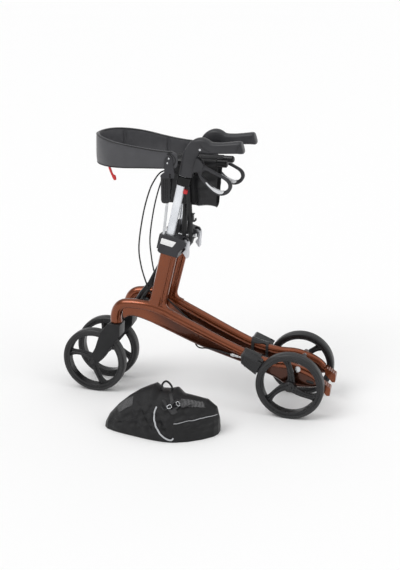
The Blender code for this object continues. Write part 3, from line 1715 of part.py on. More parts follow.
LEFT_PIECES = {
    # builder, finish, joint that carries it
    "side_frame": (side_frame, "copper_paint", "side"),
    "height_tube": (height_tube, "brushed_aluminium", "handle_slide"),
    "handle": (handle, "grip_rubber", "handle_slide"),
    "height_collar": (collar, "gloss_black", "handle_slide"),
    "release_button": (release_button, "red_plastic", "button"),
    "brake_lever": (brake_lever, "black_plastic", "lever"),
    "clamp_housing": (clamp_housing, "grey_plastic", "side"),
    "clamp_lever": (clamp_lever, "zinc_steel", "clamp"),
    "backrest_rod": (backrest_rod, "brushed_aluminium", "side"),
    "backrest_column": (backrest_column, "black_plastic", "side"),
    "backrest_bracket": (backrest_bracket, "grey_plastic", "backrest"),
    "brace_bracket": (brace_bracket, "black_steel", "side"),
    "brake_cable": (brake_cable, "cable_jacket", "side"),
    "cable_adjuster": (cable_adjuster, "zinc_steel", "side"),
    "brake_cover": (brake_cover, "grey_plastic", "side"),
    "brake_shoe": (brake_shoe, "black_plastic", "shoe"),
    "frame_bolt": (frame_bolt, "zinc_steel", "side"),
    "tip_pedal": (tip_pedal, "copper_paint", "side"),
    "caster_fork": (caster_fork, "grey_plastic", "caster"),
}


FRONT_CENTRE = (-HALF_WHEELBASE, -CASTER_Y, WHEEL_RADIUS)
REAR_CENTRE = (HALF_WHEELBASE, -REAR_WHEEL_Y, WHEEL_RADIUS)


def wheel_set(where, centre, axle_span, spin, axle_joint):
    """Tyre, wheel and axle of one left-hand wheel."""
    turn = radians(WHEEL_TURNS[f"{where}_left"])
    return [
        (tyre(f"{where}_tyre_left", centre), "tyre_rubber", spin),
        (wheel(f"{where}_wheel_left", centre, turn), "black_plastic", spin),
        (axle(f"{where}_axle_left", centre, *axle_span), "zinc_steel", axle_joint),
    ]


def right_twin(obj):
    """The right-hand piece: a wheel is the left moulding turned half round, the rest mirror."""
    where, _, kind = obj.name.partition("_wheel_")
    if not kind:
        return mirrored(obj)
    x, y, z = FRONT_CENTRE if where == "front" else REAR_CENTRE
    twin = wheel(f"{where}_wheel_right", (0, 0, 0), radians(WHEEL_TURNS[f"{where}_right"]))
    twin.data.transform(Matrix.Rotation(pi, 4, "Z"))
    return moved(twin, x, -y, z)


def joint_places(side):
    """Where each moving piece's axis is, for one side: -1 is left."""
    px, pz = raked(*CLAMP_LEVER_PIVOT)
    bx, bz = raked(TUBE_HALF_X, BUTTON_RISE)
    shoe = radians(SHOE_START)
    return {
        "side": ((0, side * POST_FOOT_Y, 0), None),
        "handle_slide": ((POST_AXIS_X, side * CLAMP_Y, POST_AXIS_Z), "side"),
        "button": ((bx, side * BUTTON_Y, bz), "handle_slide"),
        "lever": ((LEVER_PIVOT[0], side * LEVER_Y, LEVER_PIVOT[1]), "handle_slide"),
        "clamp": ((px, side * CLAMP_Y, pz), "side"),
        "backrest": ((BAND_END_X, side * BAND_HALF_WIDTH, BAND_BOTTOM_END_Z), "side"),
        "shoe": (
            (
                HALF_WHEELBASE + SHOE_HINGE_RADIUS * cos(shoe),
                side * (SHOE_Y[0] + SHOE_Y[1]) / 2,
                WHEEL_RADIUS + SHOE_HINGE_RADIUS * sin(shoe),
            ),
            "side",
        ),
        "caster": ((SWIVEL_X, side * CASTER_Y, HEAD_BOTTOM_Z), "side"),
        "front_spin": ((-HALF_WHEELBASE, side * CASTER_Y, WHEEL_RADIUS), "caster"),
        "rear_spin": ((HALF_WHEELBASE, side * REAR_WHEEL_Y, WHEEL_RADIUS), "side"),
    }


def assemble():
    left = [(build(), finish, joint) for build, finish, joint in LEFT_PIECES.values()]
    fork = FORK_HALF_GAP + FORK_LEG + SEAT_GAP + AXLE_HEAD_LENGTH
    left += wheel_set("front", FRONT_CENTRE, (-fork, fork), "front_spin", "caster")
    outer = TYRE_WIDTH / 2 + SEAT_GAP + AXLE_HEAD_LENGTH
    to_frame = REAR_WHEEL_Y - frame_y(HALF_WHEELBASE, WHEEL_RADIUS)
    inner = to_frame + WEB_HALF_THICKNESS + AXLE_HEAD_LENGTH
    left += wheel_set("rear", REAR_CENTRE, (-outer, inner), "rear_spin", "side")
    for side, pieces in (
        (-1, left),
        (1, [(right_twin(obj), finish, joint) for obj, finish, joint in left]),
    ):
        word = "left" if side < 0 else "right"
        empties = {}
        for name, (where, parent) in joint_places(side).items():
            empties[name] = joint_at(f"{name}_{word}_axis", where, empties.get(parent))
        for obj, finish, joint in pieces:
            carried(obj, empties[joint], finish)
        if side < 0:
            left_side = empties["side"]
    front_axis = joint_at("brace_front_axis", (BRACE_FOOT_X, -PIVOT_HALF_SPAN, PIVOT_Z), left_side)
    rear_axis = joint_at("brace_rear_axis", (brace_x(CROSS_Z), 0, CROSS_Z), front_axis)
    carried(brace("brace_front", -1, -BRACE_OFFSET), front_axis, "black_steel")
    carried(cross_pin(), front_axis, "zinc_steel")
    carried(seat_rail("seat_rail_right", PIVOT_HALF_SPAN), front_axis, "black_steel")
    carried(seat_cloth(), front_axis, "seat_fabric")
    carried(brace("brace_rear", 1, BRACE_OFFSET), rear_axis, "black_steel")
    carried(seat_rail("seat_rail_left", -PIVOT_HALF_SPAN), rear_axis, "black_steel")
    carried(fold_hook(), rear_axis, "black_plastic")
    carried(backrest_band(), left_side, "black_leather")
    carried(pull_tab(), left_side, "red_plastic")
    bag_place = joint_at("bag_lift_axis", (-0.045, -0.268, 0.0))
    carried(bag(), bag_place, "bag_fabric")


assemble()
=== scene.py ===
import math

import bmesh
import bpy
import numpy as np
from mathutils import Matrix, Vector


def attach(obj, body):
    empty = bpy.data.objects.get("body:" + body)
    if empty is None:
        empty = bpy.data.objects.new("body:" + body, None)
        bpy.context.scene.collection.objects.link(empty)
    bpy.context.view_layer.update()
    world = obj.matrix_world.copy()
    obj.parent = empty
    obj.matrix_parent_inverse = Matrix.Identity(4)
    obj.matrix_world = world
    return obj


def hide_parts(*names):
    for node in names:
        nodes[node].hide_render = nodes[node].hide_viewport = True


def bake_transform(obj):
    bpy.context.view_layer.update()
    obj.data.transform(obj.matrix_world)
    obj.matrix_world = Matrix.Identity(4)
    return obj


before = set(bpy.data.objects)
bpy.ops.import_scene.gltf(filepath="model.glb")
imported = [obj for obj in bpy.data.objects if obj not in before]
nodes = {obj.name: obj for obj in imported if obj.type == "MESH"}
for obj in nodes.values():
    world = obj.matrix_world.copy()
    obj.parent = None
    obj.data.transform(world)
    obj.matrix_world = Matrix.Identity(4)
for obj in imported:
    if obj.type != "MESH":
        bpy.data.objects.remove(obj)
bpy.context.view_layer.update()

print("stage: frame loaded,", len(nodes), "nodes")

camera = {"target": (0.0115, 0.0, 0.350), "azimuth": 16.08, "elevation": 18.2,
          "distance": 2.996, "lens": 63.73, "sensor": 36.0, "clip": (0.05, 200.0)}


def addObject(name, data):
    holder = bpy.data.objects.new(name, data)
    bpy.context.scene.collection.objects.link(holder)
    return holder


def setCamera(spec):
    a, e = math.radians(spec["azimuth"]), math.radians(spec["elevation"])
    back = Vector((math.sin(a) * math.cos(e), -math.cos(a) * math.cos(e), math.sin(e)))
    lens = bpy.data.cameras.new("viewCamera")
    lens.sensor_fit, lens.sensor_width, lens.lens = "AUTO", spec["sensor"], spec["lens"]
    lens.clip_start, lens.clip_end = spec["clip"]
    holder = addObject("viewCamera", lens)
    holder.location = Vector(spec["target"]) + back * spec["distance"]
    holder.rotation_euler = back.to_track_quat("Z", "Y").to_euler()
    bpy.context.scene.camera = holder


lamps = {
    # the way each soft sun shines from, its angle across in degrees, and its strength
    "keyLamp": ((-1.5, -1.9, 2.9), 32.0, 1.05),
    "rimLamp": ((2.4, -0.4, 1.9), 30.0, 0.35),
}


def setLamps(table):
    for name, (place, across, strength) in table.items():
        light = bpy.data.lights.new(name, "SUN")
        light.angle, light.energy = math.radians(across), strength
        holder = addObject(name, light)
        holder.location = place
        holder.rotation_euler = Vector(place).to_track_quat("Z", "Y").to_euler()


def addNode(tree, kind, values=None, **settings):
    # a node with its settings, each input then linked to a socket or set to a value
    node = tree.nodes.new(kind)
    for key, value in settings.items():
        setattr(node, key, value)
    for key, value in (values or {}).items():
        if isinstance(value, bpy.types.NodeSocket):
            tree.links.new(value, node.inputs[key])
        else:
            node.inputs[key].default_value = value
    return node


backdrop = {
    # height of the sky's direction and its brightness there: pale at the horizon, dim above it
    # and bright overhead
    "stops": [(0.0, 1.0), (0.13, 1.0), (0.34, 0.30), (0.60, 0.42), (0.80, 0.98), (1.0, 1.0)],
    "strength": 1.04}


def setWorld(spec):
    world = bpy.data.worlds.new("studio")
    bpy.context.scene.world = world
    world.use_nodes = True
    tree = world.node_tree
    tree.nodes.clear()
    place = addNode(tree, "ShaderNodeTexCoord").outputs["Generated"]
    height = addNode(tree, "ShaderNodeSeparateXYZ", {0: place}).outputs["Z"]
    ramp = addNode(tree, "ShaderNodeValToRGB", {"Fac": height})
    while len(ramp.color_ramp.elements) < len(spec["stops"]):
        ramp.color_ramp.elements.new(1.0)
    for stop, (at, tone) in zip(ramp.color_ramp.elements, spec["stops"]):
        stop.position, stop.color = at, (tone, tone, tone, 1.0)
    sky = addNode(tree, "ShaderNodeBackground", {
        "Strength": spec["strength"], "Color": ramp.outputs["Color"]})
    addNode(tree, "ShaderNodeOutputWorld", {"Surface": sky.outputs[0]})
    bpy.context.scene.view_settings.view_transform = "Standard"


setCamera(camera)
setLamps(lamps)
setWorld(backdrop)


def maths(tree, operation, a, b=None):
    node = addNode(tree, "ShaderNodeMath", operation=operation)
    for socket, value in zip(node.inputs, (a, b)):
        if isinstance(value, bpy.types.NodeSocket):
            tree.links.new(value, socket)
        elif value is not None:
            socket.default_value = value
    return node.outputs[0]


def plus(tree, a, b):
    return maths(tree, "ADD", a, b)


def times(tree, a, b):
    return maths(tree, "MULTIPLY", a, b)


def noise(tree, place, scale, detail):
    return addNode(tree, "ShaderNodeTexNoise", {
        "Vector": place, "Scale": scale, "Detail": detail}).outputs[0]


def ramped(tree, value, low, high, kind="LINEAR"):
    # 0 where the value is low, 1 where it is high
    return addNode(tree, "ShaderNodeMapRange", {
        "Value": value, "From Min": low, "From Max": high}, interpolation_type=kind).outputs[0]


def mixed(tree, mask, a, b):
    # colour a where the mask is 0 and b where it is 1, each a socket or three numbers
    ends = [c if isinstance(c, bpy.types.NodeSocket) else (*c, 1) for c in (a, b)]
    node = addNode(tree, "ShaderNodeMix", {0: mask, 6: ends[0], 7: ends[1]}, data_type="RGBA")
    return node.outputs[2]


def makeGroup(name, inputs, outputs, fill):
    # a node group from a Vector and named numbers to the outputs that fill returns in order
    tree = bpy.data.node_groups.new(name, "ShaderNodeTree")
    tree.interface.new_socket("Vector", in_out="INPUT", socket_type="NodeSocketVector")
    for label, value in inputs.items():
        socket = tree.interface.new_socket(label, in_out="INPUT", socket_type="NodeSocketFloat")
        socket.default_value = value
    for label in outputs:
        tree.interface.new_socket(label, in_out="OUTPUT", socket_type="NodeSocketFloat")
    put, out = tree.nodes.new("NodeGroupInput"), tree.nodes.new("NodeGroupOutput")
    for label, value in zip(outputs, fill(tree, put.outputs)):
        tree.links.new(value, out.inputs[label])
    return tree


def grainFill(tree, put):
    # Height: fine noise over a coarser one. Broad: slow mottling from 0 to 1.
    fine = noise(tree, put["Vector"], put["Scale"], 3.0)
    coarse = noise(tree, put["Vector"], times(tree, put["Scale"], 0.31), 1.0)
    slow = noise(tree, put["Vector"], put["Broad Scale"], 4.0)
    return plus(tree, fine, times(tree, coarse, 0.7)), ramped(tree, slow, 0.32, 0.68)


def leatherFill(tree, put):
    # Height: pebbles, from the distance to the edges of small Voronoi cells. Tint: slow drift.
    cells = addNode(tree, "ShaderNodeTexVoronoi", {
        "Vector": put["Vector"], "Scale": put["Scale"]}, feature="DISTANCE_TO_EDGE")
    return (ramped(tree, cells.outputs["Distance"], 0.0, 0.22, "SMOOTHSTEP"),
            noise(tree, put["Vector"], 34.0, 5.0))


def weaveFill(tree, put):
    # Height: the product of two crossed sine waves, threads over and under. Gap: its size
    # without the sign, for open mesh. Tint: slow drift.
    split = addNode(tree, "ShaderNodeSeparateXYZ", {0: put["Vector"]}).outputs
    turn = maths(tree, "DIVIDE", math.pi, put["Pitch"])
    across = plus(tree, split["X"], times(tree, split["Z"], 0.35))
    along = plus(tree, split["Y"], split["Z"])
    warp = maths(tree, "SINE", times(tree, across, turn))
    weft = maths(tree, "SINE", times(tree, along, turn))
    gap = times(tree, maths(tree, "ABSOLUTE", warp), maths(tree, "ABSOLUTE", weft))
    return times(tree, warp, weft), gap, noise(tree, put["Vector"], 28.0, 6.0)


def flakeFill(tree, put):
    # Mask: random value of each tiny cell, the sparkle of a paint. Cloud: slow pigment drift.
    cells = addNode(tree, "ShaderNodeTexVoronoi", {"Vector": put["Vector"], "Scale": put["Scale"]})
    split = addNode(tree, "ShaderNodeSeparateColor", {0: cells.outputs["Color"]})
    return split.outputs[0], noise(tree, put["Vector"], 9.0, 5.0)


def scuffFill(tree, put):
    # Mask: thin scratches in patches, where noise stretched along two ways passes a threshold
    lines = []
    for angle, stretch in ((0.4, (260.0, 14.0, 30.0)), (1.3, (22.0, 240.0, 16.0))):
        moved = addNode(tree, "ShaderNodeMapping", {
            "Vector": put["Vector"], "Rotation": (angle, 0.3, angle * 0.7), "Scale": stretch})
        lines.append(ramped(tree, noise(tree, moved.outputs[0], 1.0, 1.0), 0.70, 0.80))
    patch = ramped(tree, noise(tree, put["Vector"], 17.0, 2.0), 0.50, 0.66)
    worn = times(tree, maths(tree, "MAXIMUM", *lines), patch)
    return (times(tree, worn, put["Amount"]),)


groups = {
    "grain": makeGroup("fineGrain", {"Scale": 900.0, "Broad Scale": 22.0}, ("Height", "Broad"),
                       grainFill),
    "leather": makeGroup("leatherPebble", {"Scale": 520.0}, ("Height", "Tint"), leatherFill),
    "weave": makeGroup("threadWeave", {"Pitch": 0.0011}, ("Height", "Gap", "Tint"), weaveFill),
    "flake": makeGroup("paintFlake", {"Scale": 1500.0}, ("Mask", "Cloud"), flakeFill),
    "scuff": makeGroup("lightScuff", {"Amount": 0.5}, ("Mask",), scuffFill)}


def look(slot, a, b, rough, swing, pattern, bump, **more):
    return {"slot": slot, "a": a, "b": b, "rough": rough, "swing": swing, "pattern": pattern,
            "bump": bump, **more}


looks = {
    # slot, base and second colour, roughness and its swing, pattern and its bump's strength,
    # then what the pattern and the shader need
    "copperPaint": look(
        "copper_paint", (.27, .068, .02), (.125, .028, .008), .22, .06, "flake", .05, metal=.72,
        coat=.45, coatRough=.04, scuff=.1),
    # painted shade: the web's copper, whose tone slides into a deeper pair of colours along the
    # object in place of the shade and dim reflections on it
    "copperPaintedShade": look(
        "copper_paint", (.27, .068, .02), (.125, .028, .008), .22, .06, "flake", .04, metal=.72,
        coat=.4, coatRough=.04, scuff=.1,
        fade=(.095, .175, (.085, .021, .007), (.042, .011, .004))),
    "tyreRubber": look(
        "tyre_rubber", (.012, .012, .013), (.02, .02, .021), .34, .12, "grain", .16, scale=700.0,
        scuff=.25, spec=.45),
    "blackPlastic": look(
        "black_plastic", (.008, .008, .009), (.014, .014, .015), .26, .1, "grain", .08,
        scale=1100.0, scuff=.22, spec=.4),
    "greyPlastic": look(
        "grey_plastic", (.022, .022, .025), (.032, .032, .036), .38, .1, "grain", .12,
        scale=1300.0, scuff=.2, spec=.35),
    "forkPlastic": look(
        "grey_plastic", (.006, .006, .007), (.012, .012, .013), .34, .1, "grain", .12,
        scale=1200.0, scuff=.25, spec=.3),
    "gripRubber": look(
        "grip_rubber", (.022, .022, .025), (.034, .034, .038), .42, .1, "grain", .2, scale=1500.0,
        scuff=.1, spec=.4),
    "glossBlack": look(
        "gloss_black", (.002, .002, .0022), (.005, .005, .0055), .12, .05, "grain", .02,
        scale=500.0, scuff=.15, spec=.25),
    "blackSteel": look(
        "black_steel", (.006, .006, .007), (.012, .012, .013), .3, .08, "grain", .1, scale=1400.0,
        metal=.15, scuff=.3, spec=.4),
    "brushedTube": look(
        "brushed_aluminium", (.66, .68, .72), (.86, .88, .91), .32, .12, "brushed", .1, metal=.65,
        scuff=.1),
    "zincSteel": look(
        "zinc_steel", (.52, .53, .55), (.72, .73, .74), .24, .1, "grain", .06, scale=1600.0,
        metal=.85, scuff=.2),
    "silverPaint": look(
        "zinc_steel", (.5, .51, .54), (.66, .67, .7), .34, .06, "flake", .03, metal=.3, scuff=.1),
    "cableJacket": look(
        "cable_jacket", (.006, .006, .007), (.012, .012, .013), .38, .08, "grain", .08,
        scale=1500.0, spec=.4),
    "redPlastic": look(
        "red_plastic", (.62, .02, .024), (.52, .014, .018), .36, .06, "grain", .06, scuff=.1),
    "blackLeather": look(
        "black_leather", (.044, .044, .049), (.062, .062, .068), .4, .1, "leather", .16,
        scale=620.0, scuff=.1),
    "leatherPiping": look(
        "black_leather", (.008, .008, .009), (.014, .014, .015), .34, .1, "leather", .1,
        scale=900.0, spec=.4),
    "seatFabric": look(
        "seat_fabric", (.004, .004, .005), (.014, .014, .016), .32, .1, "weave", .35, pitch=.0012,
        spec=.42),
    "bagFabric": look(
        "bag_fabric", (.003, .003, .0035), (.012, .012, .013), .4, .16, "weave", .3, pitch=.001,
        spec=.3),
    "bagMesh": look(
        "bag_fabric", (.006, .006, .007), (.34, .34, .345), .6, .1, "mesh", .5, pitch=.0034,
        spec=.3),
    "bagPiping": look(
        "bag_fabric", (.42, .43, .45), (.56, .57, .59), .42, .1, "weave", .2, pitch=.0008),
    "bagStrap": look(
        "bag_fabric", (.01, .01, .011), (.032, .032, .034), .4, .1, "weave", .3, pitch=.0008),
    "redWebbing": look(
        "red_plastic", (.62, .03, .03), (.45, .015, .018), .5, .08, "weave", .3, pitch=.0009),
    "leverPlastic": look(
        "grey_plastic", (.02, .02, .023), (.032, .032, .036), .34, .08, "grain", .08, scale=1300.0,
        scuff=.25, spec=.4),
    "paleInset": look(
        "zinc_steel", (.62, .63, .65), (.74, .75, .77), .35, .08, "grain", .04, metal=.2,
        scuff=.1),
    "whitePlate": look(
        "grey_plastic", (.86, .86, .86), (.8, .8, .8), .3, .06, "grain", .02, scale=700.0),
    "thread": look(
        "black_leather", (.03, .03, .032), (.052, .052, .055), .55, .1, "grain", .2, scale=2400.0)}


def makeMaterial(name, spec):
    # colours mix by a slow mask, roughness swings with it, and the pattern's height feeds a Bump
    made = bpy.data.materials.new(name)
    made.use_nodes = True
    tree = made.node_tree
    place = addNode(tree, "ShaderNodeTexCoord").outputs["Object"]

    def group(key, **values):
        return addNode(tree, "ShaderNodeGroup", {"Vector": place, **values},
                       node_tree=groups[key]).outputs

    base = group("grain", Scale=spec.get("scale", 900.0))
    mask, height = base["Broad"], base["Height"]
    if spec["pattern"] == "flake":
        flake = group("flake")
        height = flake["Mask"]
        mask = plus(tree, times(tree, height, 0.45), times(tree, flake["Cloud"], 0.55))
    elif spec["pattern"] == "leather":
        hide = group("leather", Scale=spec["scale"])
        height = hide["Height"]
        mask = times(tree, hide["Tint"], plus(tree, 0.5, mask))
    elif spec["pattern"] == "weave":
        cloth = group("weave", Pitch=spec["pitch"])
        height = cloth["Height"]
        mask = times(tree, cloth["Tint"], plus(tree, 0.6, cloth["Gap"]))
    elif spec["pattern"] == "mesh":
        height = group("weave", Pitch=spec["pitch"])["Gap"]
        mask = ramped(tree, height, 0.55, 0.85)
    elif spec["pattern"] == "brushed":
        # fine lines drawn along the raked tube, and dots where the anodising catches the light
        drawn = addNode(tree, "ShaderNodeMapping", {
            "Vector": place, "Rotation": (0.0, -0.238, 0.0), "Scale": (900.0, 900.0, 18.0)})
        height = noise(tree, drawn.outputs[0], 1.0, 2.0)
        speck = addNode(tree, "ShaderNodeTexVoronoi", {"Vector": place, "Scale": 330.0})
        dots = ramped(tree, speck.outputs["Distance"], 0.20, 0.42)
        mask = times(tree, dots, plus(tree, 0.35, times(tree, mask, 0.65)))
    colour = mixed(tree, mask, spec["a"], spec["b"])
    if "fade" in spec:
        # painted shade: the tone slides into a deeper pair of colours between two places along the
        # object, standing in for the shade and dim reflections that darken the web
        start, end, shadedA, shadedB = spec["fade"]
        split = addNode(tree, "ShaderNodeSeparateXYZ", {0: place}).outputs
        along = plus(tree, split["X"], times(tree, split["Z"], 0.9))
        colour = mixed(tree, ramped(tree, along, start, end, "SMOOTHSTEP"), colour,
                       mixed(tree, mask, shadedA, shadedB))
    rough = addNode(tree, "ShaderNodeMapRange", {
        "Value": base["Broad"], "To Min": spec["rough"] - spec["swing"] / 2,
        "To Max": spec["rough"] + spec["swing"] / 2}).outputs[0]
    if "scuff" in spec:
        worn = group("scuff", Amount=spec["scuff"])["Mask"]
        colour = mixed(tree, worn, colour, [min(1.0, c * 1.8 + 0.03) for c in spec["a"]])
        rough = plus(tree, rough, times(tree, worn, 0.25))
    bump = addNode(tree, "ShaderNodeBump", {
        "Strength": spec["bump"], "Distance": 0.0006, "Height": height}).outputs[0]
    shader = tree.nodes["Principled BSDF"]
    for label, value in (("Base Color", colour), ("Roughness", rough), ("Normal", bump)):
        tree.links.new(value, shader.inputs[label])
    for label, key, usual in (("Metallic", "metal", 0.0), ("Coat Weight", "coat", 0.0),
                              ("Coat Roughness", "coatRough", 0.1),
                              ("Specular IOR Level", "spec", 0.5)):
        shader.inputs[label].default_value = spec.get(key, usual)
    return made


materials = {name: makeMaterial(name, spec) for name, spec in looks.items()}

keptNodes = {
    # each finish, and how the names start of the CAD nodes that have it where they stay in view
    "copperPaint": "side_frame tip_pedal", "brushedTube": "height_tube", "gripRubber": "handle",
    "glossBlack": "height_collar", "redPlastic": "release_button pull_tab",
    "greyPlastic": "brake_lever clamp_housing backrest_bracket", "silverPaint": "clamp_lever",
    "blackPlastic": "backrest_column fold_hook brake_cover brake_shoe front_wheel rear_wheel "
                    "front_axle rear_axle",
    "zincSteel": "backrest_rod cross_pin cable_adjuster frame_bolt",
    "blackLeather": "backrest_band", "blackSteel": "brace_ seat_rail", "seatFabric": "seat_cloth",
    "cableJacket": "brake_cable", "forkPlastic": "caster_fork",
    "tyreRubber": "front_tyre rear_tyre", "bagFabric": "bag"}
finishOf = {start: finish for finish, starts in keptNodes.items() for start in starts.split()}

for name, node in nodes.items():
    key = next(start for start in finishOf if name.startswith(start))
    node.data.materials.clear()
    node.data.materials.append(materials[finishOf[key]])
print("stage: materials made")


def smooth(t):
    # 3t^2 - 2t^3 of t held between 0 and 1
    t = np.clip(t, 0.0, 1.0)
    return t * t * (3 - 2 * t)


def unit(vectors):
    return vectors / np.linalg.norm(vectors, axis=-1, keepdims=True)


def rotated(ring, angle):
    # flat points turned about the origin, anticlockwise
    c, s = math.cos(angle), math.sin(angle)
    return ring @ np.array([[c, s], [-s, c]])


def spans(ends):
    # Catmull-Rom spans between the inner points, 24 samples in each
    t = np.linspace(0, 1, 24, endpoint=False)[None, :, None]
    p0, p1, p2, p3 = (ends[i:len(ends) - 3 + i, None, :] for i in range(4))
    return 0.5 * (2 * p1 + (p2 - p0) * t + (2 * p0 - 5 * p1 + 4 * p2 - p3) * t**2
                  + (3 * p1 - p0 - 3 * p2 + p3) * t**3)


def evenly(line, count, endpoint=True):
    # samples spaced evenly by length, which the first three columns give
    step = np.linalg.norm(np.diff(line[:, :3], axis=0), axis=1)
    run = np.concatenate([[0], np.cumsum(step)])
    at = np.linspace(0, run[-1], count, endpoint=endpoint)
    return np.stack([np.interp(at, run, column) for column in line.T], axis=1)


def through(points, count):
    # Catmull-Rom line through the points, sampled evenly
    knots = np.asarray(points, float)
    ends = np.vstack([2 * knots[0] - knots[1], knots, 2 * knots[-1] - knots[-2]])
    return evenly(np.vstack([spans(ends).reshape(-1, knots.shape[1]), knots[-1:]]), count)


def curvedOutline(points, count):
    # closed Catmull-Rom line through the flat points, sampled evenly
    ring = np.asarray(points, float)
    dense = spans(np.vstack([ring[-2:], ring, ring[:3]]))[1:1 + len(ring)].reshape(-1, 2)
    return evenly(np.vstack([dense, dense[:1]]), count, endpoint=False)


def gridFaces(rows, cols, wrap, loop):
    # quads between neighbouring rows; with wrap the columns close round, and with no loop of rows
    # an n-gon then covers each open end
    index = np.arange(rows * cols).reshape(rows, cols)
    if loop:
        index = np.vstack([index, index[:1]])
    right = np.roll(index, -1, axis=1) if wrap else index[:, 1:]
    left = index if wrap else index[:, :-1]
    faces = np.stack([left[:-1], right[:-1], right[1:], left[1:]], axis=-1).reshape(-1, 4).tolist()
    if wrap and not loop:
        faces += [index[0][::-1].tolist(), index[-1].tolist()]
    return faces


def shell(grid, wrap=True, loop=False):
    grid = np.asarray(grid, float)
    return grid.reshape(-1, 3), gridFaces(*grid.shape[:2], wrap, loop)


def makePiece(name, shells, finish, body=None, cad=(), sharp=60.0, mirror=False):
    # one mesh from several closed shells, faces outward, smooth but for edges over the sharp angle
    verts, faces, base = [], [], 0
    for points, polygons in shells:
        points = np.array(points, float)
        if mirror:
            points[:, 1] *= -1.0
        verts.append(points)
        faces += [[i + base for i in polygon] for polygon in polygons]
        base += len(points)
    mesh = bpy.data.meshes.new(name)
    mesh.from_pydata(np.vstack(verts), [], faces)
    work = bmesh.new()
    work.from_mesh(mesh)
    bmesh.ops.remove_doubles(work, verts=work.verts, dist=1e-6)
    bmesh.ops.recalc_face_normals(work, faces=work.faces)
    work.to_mesh(mesh)
    work.free()
    mesh.shade_smooth()
    mesh.set_sharp_from_angle(angle=math.radians(sharp))
    mesh.materials.append(materials[finish])
    obj = addObject(name, mesh)
    if cad:
        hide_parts(*cad)
    if body:
        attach(obj, body)
    return obj


def sidePiece(word, name, shells, finish, body, cad=(), sharp=40.0):
    # the left-hand piece or its mirrored twin, on a body of that side
    return makePiece(f"{name}_{word}", shells, finish, f"{word}_{body}",
                     [f"{node}_{word}" for node in cad], sharp, word == "right")


def bothSides(*builders):
    for build in builders:
        for word in ("left", "right"):
            build(word)


def softRing(halfU, halfV, count, power):
    # superellipse |u/a|^p + |v/b|^p = 1, as (count, 2)
    a = 2 * np.pi * (np.arange(count) + 0.5) / count
    c, s = np.cos(a), np.sin(a)
    k = 2.0 / power
    return np.stack([halfU * np.sign(c) * np.abs(c) ** k, halfV * np.sign(s) * np.abs(s) ** k], 1)


def ringsAlong(path, u, v, radii, count):
    # at each path point a circle in the plane of its u and v
    a = 2 * np.pi * np.arange(count) / count
    radii = np.broadcast_to(np.asarray(radii, float), (len(path),))
    return (path[:, None] + radii[:, None, None]
            * (np.cos(a)[None, :, None] * u[:, None] + np.sin(a)[None, :, None] * v[:, None]))


def carriedFrames(path):
    # u and v carried along the path with the least turning, for paths that bend every way
    way = unit(np.gradient(np.asarray(path, float), axis=0))
    seed = (0.0, 0.0, 1.0) if abs(way[0][2]) < 0.9 else (1.0, 0.0, 0.0)
    u = [np.cross(way[0], seed)]
    for step in way[1:]:
        u.append(u[-1] - step * (u[-1] @ step))
    u = unit(np.array(u))
    return u, np.cross(way, u)


def cordGrid(path, radii, count):
    path = np.asarray(path, float)
    return ringsAlong(path, *carriedFrames(path), radii, count)


def turnedGrid(profile, centre, axis, count):
    # profile of (radius, along) pairs turned round an axis through the centre
    profile = np.asarray(profile, float)
    a = 2 * np.pi * np.arange(count) / count
    r, h = profile[:, :1], profile[:, 1:]
    c, s = r * np.cos(a)[None], r * np.sin(a)[None]
    h = np.broadcast_to(h, c.shape)
    order = {"Y": (c, h, s), "X": (h, c, s), "Z": (c, s, h)}[axis]
    return np.stack(order, -1) + np.asarray(centre, float)


def slab(outline, y0, y1, bevel, steps=3):
    # plate in the XZ plane: at both edges the outline's rings run inwards along their corner
    # bisectors
    outline = np.asarray(outline, float)
    if np.sum(outline[:, 0] * np.roll(outline[:, 1], -1)
              - np.roll(outline[:, 0], -1) * outline[:, 1]) < 0:
        outline = outline[::-1]
    e0, e1 = unit(outline - np.roll(outline, 1, 0)), unit(np.roll(outline, -1, 0) - outline)
    n0, n1 = np.stack([-e0[:, 1], e0[:, 0]], 1), np.stack([-e1[:, 1], e1[:, 0]], 1)
    inward = n0 + n1
    inward /= np.maximum(np.sum(inward * n0, 1), 0.35)[:, None]
    rows = []
    turns = np.linspace(0, np.pi / 2, steps)
    for end, sign, order in ((y0, 1.0, turns), (y1, -1.0, turns[::-1])):
        for t in order:
            flat = outline + inward * bevel * (1 - math.sin(t))
            y = end + sign * bevel * (1 - math.cos(t))
            rows.append(np.stack([flat[:, 0], np.full(len(flat), y), flat[:, 1]], 1))
    return shell(rows)


# the post's top middle, its rake in degrees, and how the sides lean out above a level
post = {"x": -.0659, "z": .4879, "rake": 13.64, "y": .052, "level": .25, "lean": .046}
rake, lean = math.radians(post["rake"]), post["lean"]


def postX(z):
    return post["x"] + (z - post["z"]) * math.tan(rake)


def postY(z):
    return post["y"] + lean * (z - post["level"])


def raked(b, a):
    # point in x and z, b behind the post's top middle and a above it, along the rake
    return (post["x"] + b * math.cos(rake) + a * math.sin(rake),
            post["z"] - b * math.sin(rake) + a * math.cos(rake))


# how far out the frame stands at the level, for each place along X
bendsX = [-0.2345, -0.14, -0.06, 0.16, 0.3075, 0.388]
bendsY = [0.058, 0.0605, 0.052, 0.0505, 0.0608, 0.0608]


def frameY(x, z):
    return np.interp(x, bendsX, bendsY) + lean * (z - post["level"])


